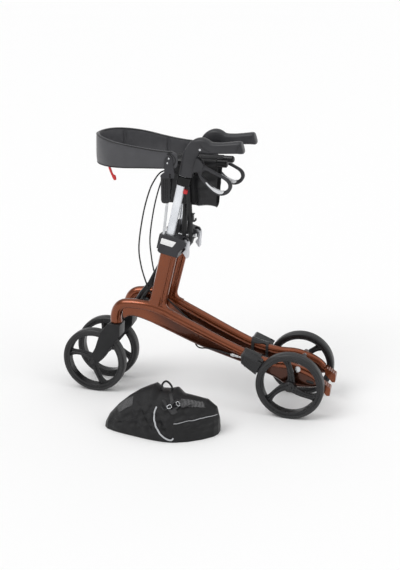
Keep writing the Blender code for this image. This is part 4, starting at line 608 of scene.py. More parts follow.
sideFrame = {
    "line": [(-.2345, .2245, .0178), (-.2340, .250, .0172), (-.2267, .2732, .0166),
             (-.2118, .2882, .0160), (-.1892, .2933, .0155), (-.1569, .2936, .0155),
             (-.1224, .2899, .0155), (-.0918, .2797, .0155), (-.0593, .2642, .0150),
             (.0198, .2287, .0146), (.0833, .2001, .0140), (.1549, .1704, .0134),
             (.2044, .1547, .0130), (.2487, .1473, .0125), (.2949, .1468, .0120),
             (.3343, .1382, .0115), (.3643, .1254, .0108), (.3843, .1088, .0104),
             (.3880, .1050, .0100)],
    "under": [(-.2077, .2433), (-.1865, .2535), (-.1615, .2514), (-.1255, .2406),
              (-.0516, .2072), (.0257, .1766), (.0919, .1558), (.1591, .1361),
              (.2272, .1133), (.2580, .1023), (.2826, .0884), (.3072, .0822),
              (.3333, .0826), (.3620, .0850), (.3862, .0905)],
    "thick": [(-.21, .0120), (0.0, .0120), (.25, .0110), (.388, .0096)],
    "headX": -.19, "headZ": .2305, "endX": .388,
    "postFront": .0170, "postRear": .0345, "postHalf": .0165, "count": 84,
    # where each side's flare ends below and its radius, then the bore's half sizes and heights
    "flareFront": (.302, .018), "flareRear": (.282, .026),
    "bore": (.0121, .0105), "boreHeights": (.4879, .306)}


def mainTube(spec):
    # round bar along the frame's line, its first ring cut level under the caster's head
    line = through([(x, -frameY(x, z), z, r) for x, z, r in spec["line"]], 150)
    way = unit(np.gradient(line[:, :3], axis=0))
    u = unit(np.cross(way, (0.0, 1.0, 0.0)))
    grid = ringsAlong(line[:, :3], u, np.cross(way, u), line[:, 3], 32)
    low = (grid[:, :, 2] < spec["headZ"]) & (grid[:, :, 0] < spec["headX"])
    grid[:, :, 2] = np.where(low, spec["headZ"], grid[:, :, 2])
    grid[:, :, 0] = np.minimum(grid[:, :, 0], spec["endX"])
    first = int(np.argmin(low.all(axis=1)))
    return shell(grid[max(first - 1, 0):])


def webPlate(spec):
    # at each x a soft section from the tube's middle down to the web's lower edge, a little full
    x = np.concatenate([np.linspace(spec["under"][0][0], spec["headX"], 8)[:-1],
                        np.linspace(spec["headX"], spec["endX"], 110)])
    lower = through([(a, 0.0, b) for a, b in spec["under"]], 300)
    bottom = np.interp(x, lower[:, 0], lower[:, 2])[:, None]
    top = np.interp(x, [p[0] for p in spec["line"]], [p[1] for p in spec["line"]])[:, None]
    top = np.maximum(top, bottom + 0.012)
    half = np.interp(x, *zip(*spec["thick"]))[:, None]
    across = [(0.0, 1.0), (0.55, 1.0), (0.84, 1.0), (0.90, 0.93), (0.93, 0.80), (0.97, 0.62),
              (1.0, 0.44), (1.015, 0.30), (0.99, 0.19), (0.92, 0.105), (0.78, 0.045),
              (0.55, 0.012), (0.28, 0.0)]
    ring = np.array(across + [(-a, b) for a, b in across[:0:-1]])
    z = bottom + ring[:, 1] * (top - bottom)
    y = ring[:, 0] * half * np.clip((z - bottom) / 0.007, 0.0, 1.0) ** 0.5
    return shell(np.stack([x[:, None] + 0 * z, y - frameY(x[:, None], z), z], 2))


def flare(z, foot, radius):
    # quarter circle: 0 at a radius above the foot, the whole radius at the foot
    rise = np.clip(foot + radius - z, 0.0, radius)
    return radius - math.sqrt(max(radius**2 - rise**2, 0.0))


def postRing(line, z):
    return np.stack([postX(z) + line[:, 0], line[:, 1] - postY(z), np.full(len(line), z)], 1)


def postShell(spec):
    # level sections with a groove and a bead behind, flared where the post meets the tube,
    # then over the top and down inside as the height tube's bore
    rows = []
    for z in np.concatenate([np.linspace(0.252, 0.33, 34), np.linspace(0.34, 0.50, 12)]):
        front = spec["postFront"] + flare(z, *spec["flareFront"])
        rear = spec["postRear"] + flare(z, *spec["flareRear"])
        half = spec["postHalf"] - 0.0015 * min(1.0, max(0.0, (0.326 - z) / 0.03))
        side = [(-front, 0.0), (-front + 0.0004, 0.30), (-front + 0.003, 0.64),
                (-0.62 * front - 0.001, 0.90), (-0.25 * front, 0.99), (0.0, 1.0),
                (0.0077, 1.0), (0.0155, 0.93), (0.0200, 0.76), (0.0216, 0.62), (0.0232, 0.54),
                (0.0247, 0.56), (0.0262, 0.63), (0.0290, 0.62), (rear - 0.0030, 0.50),
                (rear - 0.0006, 0.24), (rear, 0.0)]
        side = np.array(side) * (1.0, half)
        ring = np.vstack([side, (side * (1, -1))[-2:0:-1]])
        rows.append(postRing(curvedOutline(ring, spec["count"]), z))
    rows = np.array(rows)
    topX, topZ = raked(0.0, 0.0)
    over = (rows[:, :, 0] - topX) * math.sin(rake) + (rows[:, :, 2] - topZ) * math.cos(rake)
    over = np.maximum(over, 0.0)
    rows -= over[:, :, None] * (math.sin(rake), -lean * math.cos(rake), math.cos(rake))
    rows = rows[:int(np.argmax((over > 0).all(axis=1))) + 1]
    # the bore's rings are set to start beside the top's first point and to run its way round
    flat = softRing(*spec["bore"], spec["count"], 5.0)[::-1]
    bore = [postRing(flat, z) for z in spec["boreHeights"]]
    top, quarter = rows[-1], spec["count"] // 4
    start = np.argmin(np.linalg.norm(bore[0][:, :2] - top[0, :2], axis=1))
    bore = [np.roll(ring, -start, axis=0) for ring in bore]
    ahead, behind = (np.linalg.norm(bore[0][k, :2] - top[quarter, :2]) for k in (quarter, -quarter))
    if ahead > behind:
        bore = [np.roll(ring[::-1], 1, axis=0) for ring in bore]
    return shell(np.concatenate([rows, np.array(bore)]))


def buildSideFrame(word):
    sidePiece(word, "sideFrameSkin", [mainTube(sideFrame), postShell(sideFrame)], "copperPaint",
              "side", ["side_frame"], 50.0)
    # the web under the tube takes the copper with painted shade, deeper along the object
    sidePiece(word, "frameWeb", [webPlate(sideFrame)], "copperPaintedShade", "side", ["side_frame"], 50.0)


bothSides(buildSideFrame)
print("stage: side frames")


backrest = {"half": .0932, "radius": .1110, "thick": .0125, "endX": -.026, "centreX": -.1785,
            "topEnd": .764, "topMid": .7965, "lowEnd": .7155, "lowMid": .7105, "rise": 1.15,
            "long": .557, "pleats": (.135, .351, .649, .865), "pleatDeep": .0034,
            "pleatWide": .0030,
            # where piping runs along the pad, across and up it, and its radius
            "pipes": [(-.60, -.93), (-.60, .93), (.60, -.93), (.60, .93)], "pipeSize": .0015,
            # how far each piped arc stays from an end, and its radius
            "arcs": [(.0045, .0011), (.0100, .0010), (.0155, .0009)], "arcReach": .030,
            "stitchSide": .0085, "dash": [.0001, .0004, .0004, .0004, .0001],
            "tabAt": .303, "tabHalf": .0020,
            "tab": [(-.0060, -.0001), (0, 0), (.0075, -.0185), (.0140, -.0225),
                    (.0165, -.0335), (.0130, -.0365), (.0085, -.0345), (.0015, -.0200)]}


def bandLine(s, spec=backrest):
    # plan line of the pad for s from 0 to 1: a straight run from each end, then arcs meeting behind
    s = np.asarray(s, float)
    deep = spec["endX"] - spec["centreX"]
    reach = math.hypot(deep, spec["half"])
    spread = math.asin(spec["radius"] / reach) - math.atan2(spec["half"], deep)
    straight = math.sqrt(reach**2 - spec["radius"]**2)
    halfRun = straight + spec["radius"] * (math.pi / 2 + spread)
    run = 2 * halfRun * np.minimum(s, 1 - s)
    side = np.where(s < 0.5, -1.0, 1.0)
    turn = spread - (run - straight) / spec["radius"]
    flat = run < straight
    outX = np.where(flat, math.sin(spread), np.sin(turn))
    outY = side * np.where(flat, math.cos(spread), np.cos(turn))
    x = np.where(flat, spec["endX"] - run * math.cos(spread),
                 spec["centreX"] + spec["radius"] * outX)
    y = np.where(flat, side * (spec["half"] + run * math.sin(spread)), spec["radius"] * outY)
    rise = smooth(run / halfRun * spec["rise"])
    top = spec["topEnd"] + (spec["topMid"] - spec["topEnd"]) * rise
    low = spec["lowEnd"] + (spec["lowMid"] - spec["lowEnd"]) * rise
    return x, y, outX, outY, run, low, top


def padSkin(spec):
    # soft section |u|^2.8 + |v|^2.8 = 1 along the plan line, rounded off at the ends, with pressed
    # pleats on the inner face and a faint swell between them
    edge = 0.035 * (1 - np.cos(np.linspace(0, np.pi / 2, 14)))
    s = np.concatenate([edge, np.linspace(0.035, 0.965, 300)[1:-1], 1 - edge[::-1]])
    x, y, outX, outY, run, low, top = (value[:, None] for value in bandLine(s))
    s = s[:, None]
    ease = np.clip(run / 0.017, 0, 1)
    close = 0.30 + 0.70 * (1 - (1 - ease) ** 2.2) ** (1 / 2.2)
    u, v = softRing(1.0, 1.0, 72, 2.8).T[:, None]
    pleat = sum(np.exp(-((s - at) * spec["long"] / spec["pleatWide"]) ** 2)
                for at in spec["pleats"])
    swell = 1 + 0.10 * np.sin(s * 46.0) * np.sin(v * 2.2 + s * 9.0)
    across = spec["thick"] / 2 * (0.55 + 0.45 * ease) * u * swell
    across = across + spec["pleatDeep"] * pleat * np.clip(-u, 0, 1) * (1 - v**4)
    z = (low + top) / 2 + (top - low) / 2 * close * v
    return np.stack([x + outX * across, y + outY * across, z], 2)


def onBand(s, across, up):
    # point on the pad: across its thickness and up its height, both from -1 to 1
    x, y, outX, outY, _, low, top = bandLine(s)
    shift = backrest["thick"] / 2 * np.asarray(across)
    return np.stack([x + outX * shift, y + outY * shift,
                     (low + top) / 2 + (top - low) / 2 * np.asarray(up)], 1)


def buildBackrest(spec):
    pad = makePiece("backrestPad", [shell(padSkin(spec))], "blackLeather", cad=["backrest_band"])
    s = np.linspace(0.022, 0.978, 240)
    binding = [shell(cordGrid(onBand(s, across, up), spec["pipeSize"], 10))
               for across, up in spec["pipes"]]
    for end in (0, 1):
        for inset, size in spec["arcs"]:
            turn = np.linspace(-1.22, 1.22, 40)
            run = spec["arcReach"] - (spec["arcReach"] - inset) * np.cos(turn)
            arc = onBand(abs(end - run / spec["long"]), 1.0, np.sin(turn) * (1 - inset * 16))
            binding.append(shell(cordGrid(arc, size, 8)))
    trim = makePiece("backrestPiping", binding, "leatherPiping")
    dashes = []
    for at in spec["pleats"]:
        for side in (-spec["stitchSide"], spec["stitchSide"]):
            for up in np.linspace(-0.80, 0.80, 15):
                line = onBand(np.full(5, at + side), -1.02, up + np.linspace(-0.040, 0.040, 5))
                dashes.append(shell(cordGrid(line, spec["dash"], 6)))
    stitch = makePiece("backrestStitches", dashes, "thread")
    for piece in (pad, trim, stitch):
        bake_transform(piece)
    tabX, tabY, *_, tabLow, _ = bandLine(np.array([spec["tabAt"]]))
    x, y, z = tabX[0], tabY[0], tabLow[0] - .0003
    outline = curvedOutline([(x + a, z + b) for a, b in spec["tab"]], 60)
    tab = slab(outline, y - spec["tabHalf"], y + spec["tabHalf"], .0008)
    makePiece("pullRibbon", [tab], "redWebbing", "left_side", ["pull_tab"], 38.0)
    print("stage: backrest")


buildBackrest(backrest)


seat = {"front": -.088, "run": .1595, "railY": .037, "railZ": .725, "sleeve": .0114,
        "top": .724, "low": .590, "room": .0253,
        # the brace beside the cloth: its slope, the crossing's height, its half width, tilt, gap
        "slope": .16481, "crossZ": .5005, "braceHalf": .008, "tilt": 9.36, "gap": .0026}


def seatSkin(spec):
    # a V of cloth between the rails: z falls with 1 - |s|^1.9, y closes to the middle with slow
    # folds towards the free end, and each edge wraps round its rail
    u, s = np.linspace(0, 1, 96)[:, None], np.linspace(-1, 1, 121)[None, :]
    x0 = spec["front"] + spec["run"] * u
    free = smooth((x0 + .0045) / .03)
    bottom = spec["low"] + .004 * np.sin(9 * u) * free + .006 * (1 - u)
    depth = 1 - np.abs(s) ** 1.9
    z = spec["top"] - (spec["top"] - bottom) * depth
    near = (spec["slope"] * (z - spec["crossZ"])
            - spec["braceHalf"] / math.cos(math.radians(spec["tilt"])) - spec["gap"])
    room = np.minimum(spec["room"], near + .012 * free * (1 - np.abs(s) ** 3))
    fold = 3 * depth * (1 - depth)
    wave = free * fold * (.0024 * np.sin(2 * np.pi * (2.4 * u + .9 * depth))
                          + .0011 * np.sin(2 * np.pi * (5.0 * depth + 0.8 * u)))
    y = np.sign(s) * room * np.minimum(1, 5 * np.abs(s)) + wave
    x = x0 - .009 * free * depth + 0 * s
    hung = np.stack([x, y, z], 2)
    # the wrap ends just over the top where the clamp housing takes the rail when the seat is open
    last = 0.30 * np.pi - 0.98 * np.pi * smooth((x0 + .006) / .010)
    turn = np.pi + (last - np.pi) * np.linspace(0, 1, 26)[1:][None]
    radius = spec["sleeve"] - .0010 * (1 - smooth((x0 + .010) / .012))
    arcY, arcZ = spec["railY"] + radius * np.cos(turn), spec["railZ"] + radius * np.sin(turn)
    right = np.stack([x0 + 0 * turn, arcY + 0 * x0, arcZ + 0 * x0], 2)
    left = right[:, ::-1] * (1, -1, 1)
    return np.concatenate([left, hung, right], axis=1)


def buildSeat(spec):
    grid = seatSkin(spec)
    cloth = makePiece("seatCloth", [shell(grid, wrap=False)], "seatFabric",
                      cad=["seat_cloth"], sharp=80.0)
    hems = [shell(cordGrid(grid[k, 26:-26], 0.0011, 8)) for k in (0, -1)]
    hem = makePiece("seatHem", hems, "leatherPiping")
    for piece in (cloth, hem):
        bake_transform(piece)


buildSeat(seat)


cable = {"radius": .0022, "route": [
    (.0193, -.0627, .7005), (.0108, -.0572, .6940), (-.0042, -.0537, .6900),
    (-.0400, -.0512, .6940), (-.0680, -.0512, .7000), (-.0895, -.0512, .6945),
    (-.1080, -.0512, .6720), (-.1260, -.0512, .6350), (-.1457, -.0512, .5650),
    (-.1600, -.0505, .4740), (-.1565, -.0480, .4150), (-.1435, -.0405, .3570),
    (-.1260, -.0345, .3150), (-.0990, -.0338, .2830), (-.0620, -.0330, .2500),
    (-.0260, -.0338, .2190), (-.0050, -.0338, .1985), (.0040, -.0358, .1868),
    (.0100, -.0420, .1790), (.0165, -.0510, .1762), (.0260, -.0595, .1752),
    (.0370, -.0645, .1764), (.0511, -.0655, .1782), (.0872, -.0655, .1740),
    (.1233, -.0655, .1667)]}


def buildCable(word):
    mirror = word == "right"
    route, fine = through(cable["route"], 40), through(cable["route"], 240)
    tube = makePiece(f"brakeCable_{word}", [shell(cordGrid(fine, cable["radius"], 12))],
                     "cableJacket", cad=[f"brake_cable_{word}"], mirror=mirror)
    route = route * (1, -1 if mirror else 1, 1)
    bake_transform(tube)


bothSides(buildCable)


bag = {"sections": [
    # x, ridge height, ridge y, near y, far y
    (-.185, .016, -.282, -.296, -.268), (-.174, .038, -.280, -.308, -.248),
    (-.150, .066, -.276, -.318, -.226), (-.120, .092, -.270, -.326, -.210),
    (-.090, .113, -.266, -.332, -.202), (-.060, .128, -.262, -.338, -.198),
    (-.0425, .136, -.260, -.341, -.197), (-.0245, .122, -.260, -.343, -.196),
    (.000, .124, -.261, -.344, -.196), (.020, .131, -.262, -.343, -.197),
    (.038, .114, -.262, -.339, -.199), (.070, .108, -.258, -.325, -.202),
    (.105, .101, -.252, -.300, -.207), (.130, .080, -.246, -.274, -.216),
    (.1385, .050, -.244, -.256, -.230)],
    "creases": [
        # lines in x and z pressed into the near side, with depth and half width
        ([(-.166, .021), (-.137, .027), (-.100, .046), (-.067, .0635), (-.035, .083)],
         .0026, .0030),
        ([(.032, .0535), (.071, .059), (.102, .062), (.134, .060)], .0016, .0026),
        ([(.030, .073), (.062, .069), (.096, .075), (.120, .073)], .0022, .0040),
        ([(.034, .088), (.070, .083), (.104, .086)], .0020, .0045),
        ([(.0317, .012), (.0327, .055), (.0218, .080), (.0167, .097)], .0026, .0036)],
    "piping": [(-.0215, .0925), (-.0263, .0705), (-.0207, .0492), (-.0082, .0298), (.0085, .0154),
               (.0253, .0080), (.0327, .0133)],
    "line": [(.0311, .0535), (.0713, .059), (.1024, .0621), (.123, .0627), (.134, .0604)],
    "wrinkles": [(120.0, 90.0, 37.0, .0024), (-60.0, 300.0, 52.0, .0017),
                 (230.0, -150.0, 41.0, .0012)],
    "patches": [([(-.148, .0640), (-.120, .0885), (-.0985, .1010)],
                 [(-.137, .0560), (-.112, .0730), (-.0960, .0830)]),
                ([(.0400, .1085), (.066, .1050), (.098, .0985)],
                 [(.0420, .0930), (.070, .0920), (.106, .0870)])],
    "patchLift": .0009,
    "straps": [
        # each strap's line on the near side and how far it stands off
        ([(-.006, .108), (.006, .098), (.020, .090), (.034, .095), (.040, .106)], .0032),
        ([(-.010, .096), (.004, .088), (.018, .100), (.030, .110)], .0044),
        ([(.012, .122), (.020, .108), (.016, .092), (.026, .080), (.036, .084)], .0030),
        ([(.026, .100), (.050, .094), (.072, .097)], .0024)],
    "strapWide": .0085, "buckles": [(.0165, .0960, .5), (.0335, .1010, -.4)],
    "loop": [(-.024, -.272, .1180), (-.020, -.270, .1400), (-.012, -.268, .1490),
             (-.004, -.268, .1480), (.004, -.268, .1400), (.008, -.270, .1310),
             (.006, -.276, .1180)]}


def quarterCurve(t):
    # u of t^2.1 + u^2.1 = 1
    return np.maximum(1 - t**2.1, 0.0) ** (1 / 2.1)


def bagNear(x, z):
    # y of the near side: a quarter curve from the foot up to the ridge, with its creases, slow
    # crumpling and the lobe beside the piping
    x, z = np.asarray(x, float), np.asarray(z, float)
    table = np.array(bag["sections"])
    high, ridge, near = (np.interp(x, table[:, 0], table[:, k]) for k in (1, 2, 3))
    t = np.clip(z / high, 0.0, 1.0)
    y = ridge + (near - ridge) * quarterCurve(t)
    press = 0.0015 * (np.sin(x * 61 + z * 40) * np.sin(z * 95 - x * 23)
                      + np.sin(x * 140 + z * 120) * 0.5)
    for across, up, bend, deep in bag["wrinkles"]:
        wave = np.sin(x * across + z * up + 1.6 * np.sin(x * bend + z * 31))
        press = press + deep * np.abs(wave) ** 0.6 * np.sign(wave) * smooth((z - .010) / .03)
    for points, deep, wide in bag["creases"]:
        line = through([(a, 0.0, b) for a, b in points], 60)
        gap = np.min(np.hypot(x[..., None] - line[:, 0], z[..., None] - line[:, 2]), axis=-1)
        press = press - deep * np.exp(-(gap / wide) ** 2)
    press = press + 0.0035 * np.exp(-((x - .012) / .014) ** 2 - ((z - .045) / .030) ** 2)
    return y - press * (1 - t**3) * smooth(z / 0.012) * smooth((high - z) / 0.012)


def bagSkin():
    # near side up to the ridge, down the far side and back under, one closed ring for each x
    table = np.array(bag["sections"])
    x = np.maximum.accumulate(through(table[:, :3], 150)[:, :1])
    high, ridge, far = (np.interp(x, table[:, 0], table[:, k]) for k in (1, 2, 4))
    rise = np.sin(np.linspace(0, np.pi / 2, 44))[None]
    nearY = bagNear(x + 0 * rise, high * rise)
    fall = rise[:, ::-1][:, 1:]
    farY = ridge + (far - ridge) * quarterCurve(fall)
    farY = farY + (0.0018 * np.sin(x * 55 + fall * 4) * np.sin(fall * 7)
                   + 0.0014 * np.sin(x * 130 - fall * 14)) * (1 - fall) * smooth(fall / .1)
    under = np.linspace(0, 1, 14)[None, 1:-1]
    underY = farY[:, -1:] + (nearY[:, :1] - farY[:, -1:]) * under
    y = np.concatenate([nearY, farY, underY], 1)
    z = np.concatenate([high * rise, high * fall, 0 * underY], 1)
    return np.stack([x + 0 * y, y, z + 0.0006], 2)


def onBag(points, count, lift):
    # line of (x, z) points laid on the near side and lifted along its normal
    line = through([(a, 0.0, b) for a, b in points], count)
    x, z, step = line[:, 0], line[:, 2], 0.0015
    slopeX = (bagNear(x + step, z) - bagNear(x - step, z)) / (2 * step)
    slopeZ = (bagNear(x, z + step) - bagNear(x, z - step)) / (2 * step)
    normal = unit(np.stack([slopeX, -np.ones_like(x), slopeZ], 1))
    return np.stack([x, bagNear(x, z), z], 1) + normal * lift, normal


def bagCord(points, count, lift, radius, sides):
    return shell(cordGrid(onBag(points, count, lift)[0], radius, sides))


def strapGrid(points, lift, wide):
    # flat soft rectangle carried along a line on the bag, which ripples up and down
    path, _ = onBag(points, 44, lift)
    path[:, 2] += 0.0018 * np.sin(np.linspace(0, 9, 44))
    u, v = carriedFrames(path)
    ring = softRing(wide / 2, 0.0006, 16, 4.0)
    return path[:, None] + u[:, None] * ring[None, :, :1] + v[:, None] * ring[None, :, 1:]


def bagPatch(above, below, lift):
    # closed sheet a little off the bag between an upper and a lower line of (x, z) points
    upper, lower = onBag(above, 26, lift)[0], onBag(below, 26, lift)[0]
    t = np.linspace(0, 1, 14)[None, :, None]
    flat = upper[:, None] * (1 - t) + lower[:, None] * t
    x, z = flat[..., 0], flat[..., 2]
    y = bagNear(x, z)
    outer, inner = np.stack([x, y - lift, z + lift * 0.7], 2), np.stack([x, y + 0.0012, z], 2)
    return shell(np.concatenate([outer, inner[:, ::-1]], axis=1))


def buckleGrid(x, z, turn):
    # thin rod round a soft square that lies flat on the bag, turned by an angle
    spots, normals = onBag([(x - .001, z), (x, z), (x + .001, z)], 3, .0058)
    centre, n = spots[1], normals[1]
    u = unit(np.cross(n, (0, 1, 0.2)))
    ring = rotated(softRing(.0062, .0046, 40, 3.5), turn)
    path = centre + ring[:, :1] * u + ring[:, 1:] * np.cross(n, u)
    away = unit(path - centre)
    return ringsAlong(path, away, np.broadcast_to(n, away.shape), .0011, 8)


def buildBag(spec):
    body = makePiece("bagShell", [shell(bagSkin())], "bagFabric", "carried_bag", ["bag"],
                     sharp=80.0)
    shown = {
        "bagPiping": ([bagCord(spec["piping"], 70, 0.0012, 0.0023, 10),
                       bagCord(spec["line"], 60, 0.0006, 0.0009, 8)], "bagPiping", 60.0),
        "bagMeshStrips": ([bagPatch(*lines, spec["patchLift"]) for lines in spec["patches"]],
                          "bagMesh", 60.0),
        "bagSeams": ([bagCord(spec["creases"][0][0], 70, 0.0002, 0.0007, 8)], "bagFabric", 60.0),
        "bagStraps": ([shell(strapGrid(points, lift, spec["strapWide"]))
                       for points, lift in spec["straps"]], "bagStrap", 50.0),
        "bagBuckles": ([shell(buckleGrid(*spot), loop=True) for spot in spec["buckles"]],
                       "zincSteel", 60.0),
        "bagLoop": ([shell(cordGrid(through(spec["loop"], 60), 0.0029, 14))],
                    "blackPlastic", 60.0)}
    for name, (shells, finish, sharp) in shown.items():
        makePiece(name, shells, finish, "carried_bag", sharp=sharp)
    print("stage: bag")


buildBag(bag)


wheels = {
    # for each wheel its axle's place, the turn of a spoke's rim end, and which way the spokes curve
    "left_front": (-0.3075, -0.058, 48.0, 1), "right_front": (-0.3075, 0.058, -22.0, -1),
    "left_rear": (0.3075, -0.090, -21.0, 1), "right_rear": (0.3075, 0.090, 46.0, -1),
    "height": 0.100, "sweep": 20.0,
    # the near half of each profile, as (radius, along)
    "tyre": [(.0905, .0150), (.0960, .0157), (.0993, .0128), (.1000, .0080), (.0992, .0066),
             (.0992, .0058), (.1000, .0044)],
    "rim": [(.0932, .0138), (.0908, .0152), (.0890, .0144), (.0858, .0126), (.0812, .0136),
            (.0796, .0126)],
    "hub": [(.0052, .0160), (.0108, .0160), (.0120, .0148), (.0162, .0138)],
    # half a spoke's section: across from its middle to its edge at 1, and its face's height
    "spoke": [(0, .0083), (.18, .0078), (.30, .0062), (.42, .0042), (.80, .0038), (.95, .0030),
              (1, .0016)],
    "spokeFrom": .0135, "spokeTo": .0815, "ridge": .0105}


def roundedProfile(corners, radius):
    # closed outline with each corner traded for a quadratic arc that starts a radius away from it
    corners = np.asarray(corners, float)
    starts = []
    for way in (1, -1):
        reach = np.roll(corners, way, 0) - corners
        long = np.linalg.norm(reach, axis=1)
        starts.append(corners + reach * (np.minimum(radius, 0.45 * long) / long)[:, None])
    a, b = (points[:, None] for points in starts)
    t = np.linspace(0, 1, 5)[None, :, None]
    arcs = (1 - t) ** 2 * a + 2 * t * (1 - t) * corners[:, None] + t**2 * b
    return arcs.reshape(-1, 2)


def spokeGrid(centre, rimTurn, way):
    # along the spoke r runs from hub to rim while its angle falls back by the sweep; across it a
    # plate, wide at the hub and flared into the rim, with a raised ridge of one width
    t = np.linspace(0, 1, 30)
    r = wheels["spokeFrom"] + t * (wheels["spokeTo"] - wheels["spokeFrom"])
    angle = np.radians(rimTurn - way * wheels["sweep"] * (1 - t) ** 1.25)
    mid = np.stack([r * np.cos(angle), r * np.sin(angle)], 1)
    along = unit(np.gradient(mid, axis=0))
    half = (0.0072 + 0.0052 * (1 - t) ** 2.0 + 0.0085 * t**7)[:, None]
    part = np.array(wheels["spoke"])
    side = np.vstack([part[:0:-1] * (-1, 1), part])
    u, y = np.vstack([side, side[::-1] * (1, -1)]).T
    wide = np.where(np.abs(u) > 0.41, half * u, wheels["ridge"] * u)
    x = centre[0] + mid[:, :1] - along[:, 1:] * wide
    z = centre[2] + mid[:, 1:] + along[:, :1] * wide
    return np.stack([x, centre[1] + y + 0 * x, z], 2)


def buildWheel(word, kind):
    x, y, turn, way = wheels[f"{word}_{kind}"]
    centre, body = (x, y, wheels["height"]), f"{word}_{kind}_roller"

    def ring(key, radius, count):
        half = wheels[key]
        profile = roundedProfile(half + [(r, -h) for r, h in half[::-1]], radius)
        return shell(turnedGrid(profile, centre, "Y", count), loop=True)

    makePiece(f"{kind}TyreSkin_{word}", [ring("tyre", .0022, 144)], "tyreRubber", body,
              [f"{kind}_tyre_{word}"], sharp=35.0)
    shells = [ring("rim", .0014, 144), ring("hub", .0012, 64)]
    shells += [shell(spokeGrid(centre, turn + third, way)) for third in (0, 120, 240)]
    makePiece(f"{kind}WheelSkin_{word}", shells, "blackPlastic", body, [f"{kind}_wheel_{word}"],
              sharp=40.0)


for word in ("left", "right"):
    for kind in ("front", "rear"):
        buildWheel(word, kind)
print("stage: wheels")


fork = {"side": [(-.2535, .2287), (-.2155, .2287), (-.2180, .1900), (-.2395, .1600),
                 (-.2915, .0950), (-.3015, .0855), (-.3160, .0880), (-.3220, .1020),
                 (-.2975, .1450), (-.2805, .1950)],
        "crown": [(-.2535, .2287), (-.2155, .2287), (-.2180, .1900), (-.2318, .1757),
                  (-.2387, .1822), (-.2508, .1909), (-.2640, .1980), (-.2744, .2020),
                  (-.2690, .2105)],
        "stem": [(.0060, .2270), (.0065, .2280), (.0065, .2535), (.0058, .2545)],
        "boss": [(.0001, 0), (.0118, 0), (.0126, .0008), (.0126, .0030), (.0001, .0030)],
        "stemX": -.2345, "middle": .058, "inner": .0195, "outer": .0247}


def buildFork(word):
    y, inner, outer = -fork["middle"], fork["inner"], fork["outer"]
    leg, crown = roundedProfile(fork["side"], .006), roundedProfile(fork["crown"], .003)
    shells = [slab(leg, y - outer, y - inner, .0016, 5), slab(leg, y + inner, y + outer, .0016, 5),
              slab(crown, y - outer + .001, y + outer - .001, .0014, 5),
              shell(turnedGrid(fork["stem"], (fork["stemX"], y, 0), "Z", 32))]
    for side in (-1, 1):
        # boss round the axle on each leg's outer face
        centre = (wheels["left_front"][0], y + side * (outer + .0008), wheels["height"])
        boss = [(r, -side * h) for r, h in fork["boss"]]
        shells.append(shell(turnedGrid(boss, centre, "Y", 40)))
    sidePiece(word, "casterForkSkin", shells, "forkPlastic", "caster", ["caster_fork"], 35.0)


bothSides(buildFork)
print("stage: forks")


handle = {
    # x, z, tilt, half height and half width; no x means straight above the height tube
    "line": [(None, .6928, 0, .0203, .0155), (None, .7239, 0, .0203, .0159),
             (None, .7490, 4, .0203, .0165), (.0127, .7651, 22, .0206, .0170),
             (.0213, .7757, 45, .0210, .0176), (.0319, .7817, 66, .0212, .0180),
             (.0434, .7827, 79, .0206, .0182), (.0548, .7797, 84, .0190, .0180),
             (.0677, .7769, 79, .0155, .0175), (.0927, .7769, 77, .0150, .0172),
             (.1196, .7792, 76, .0158, .0175), (.1416, .7814, 77, .0168, .0182),
             (.1546, .7812, 64, .0170, .0178), (.1568, .7810, 61, .0155, .0160)],
    "ears": [(.0055, .7510), (.0314, .7450), (.0436, .7288), (.0409, .7137), (.0269, .7072),
             (.0009, .7087)],
    "core": [(.0035, .7510), (.0205, .7475), (.0205, .7080), (-.0005, .7087)],
    "shift": .0068, "leverY": .0737, "earHalf": .0104, "slotHalf": .0060,
    # each moulding line's ends as shares of the handle's length, then as angles round it
    "seams": (((.46, .60), (262, 292)), ((.925, .972), (292, 248))),
    "screw": [(.0001, -.0004), (.0030, -.0004), (.0034, .0004), (.0034, .0020), (.0001, .0020)]}


def handleRows(spec):
    rows = []
    for x, z, tilt, high, wide in spec["line"]:
        x = postX(z) + spec["shift"] if x is None else x
        rows.append((x, -postY(z), z, tilt, high, wide))
    return through(rows, 130)


def handleGrid(spec, count=56):
    # superellipse of power 3.2 carried along the line, its long side square to the line's tilt
    line = handleRows(spec)
    turn = rake + np.radians(line[:, 3])
    across = np.stack([np.cos(turn), 0 * turn, -np.sin(turn)], 1)
    ring = softRing(1.0, 1.0, count, 3.2)
    ends = np.ones(len(line))
    ends[:3], ends[-4:] = (0.90, 0.965, 0.99), (0.995, 0.975, 0.93, 0.80)
    high, wide = line[:, 4] * ends, line[:, 5] * ends
    grid = line[:, None, :3] + across[:, None] * ring[None, :, :1] * high[:, None, None]
    grid[:, :, 1] += ring[None, :, 1] * wide[:, None]
    return grid


def onHandle(station, turn, lift):
    # point on the near side of the handle: a share of its length and an angle round its section
    grid = handleGrid(handle, 360)
    row = (np.asarray(station) * (len(grid) - 1)).astype(int)
    point = grid[row, (np.asarray(turn) % 360).astype(int)]
    return point + unit(point - grid[row].mean(axis=1)) * lift


def buildHandle(word):
    y, ear, slot = -handle["leverY"], handle["earHalf"], handle["slotHalf"]
    ears = curvedOutline(handle["ears"], 60)
    shells = [shell(handleGrid(handle)), slab(ears, y - ear, y - slot, .0014, 4),
              slab(ears, y + slot, y + ear, .0014, 4),
              slab(handle["core"], y - ear + .0005, y + ear - .0005, .001)]
    sidePiece(word, "handleSkin", shells, "gripRubber", "handle", ["handle"], 45.0)


bothSides(buildHandle)


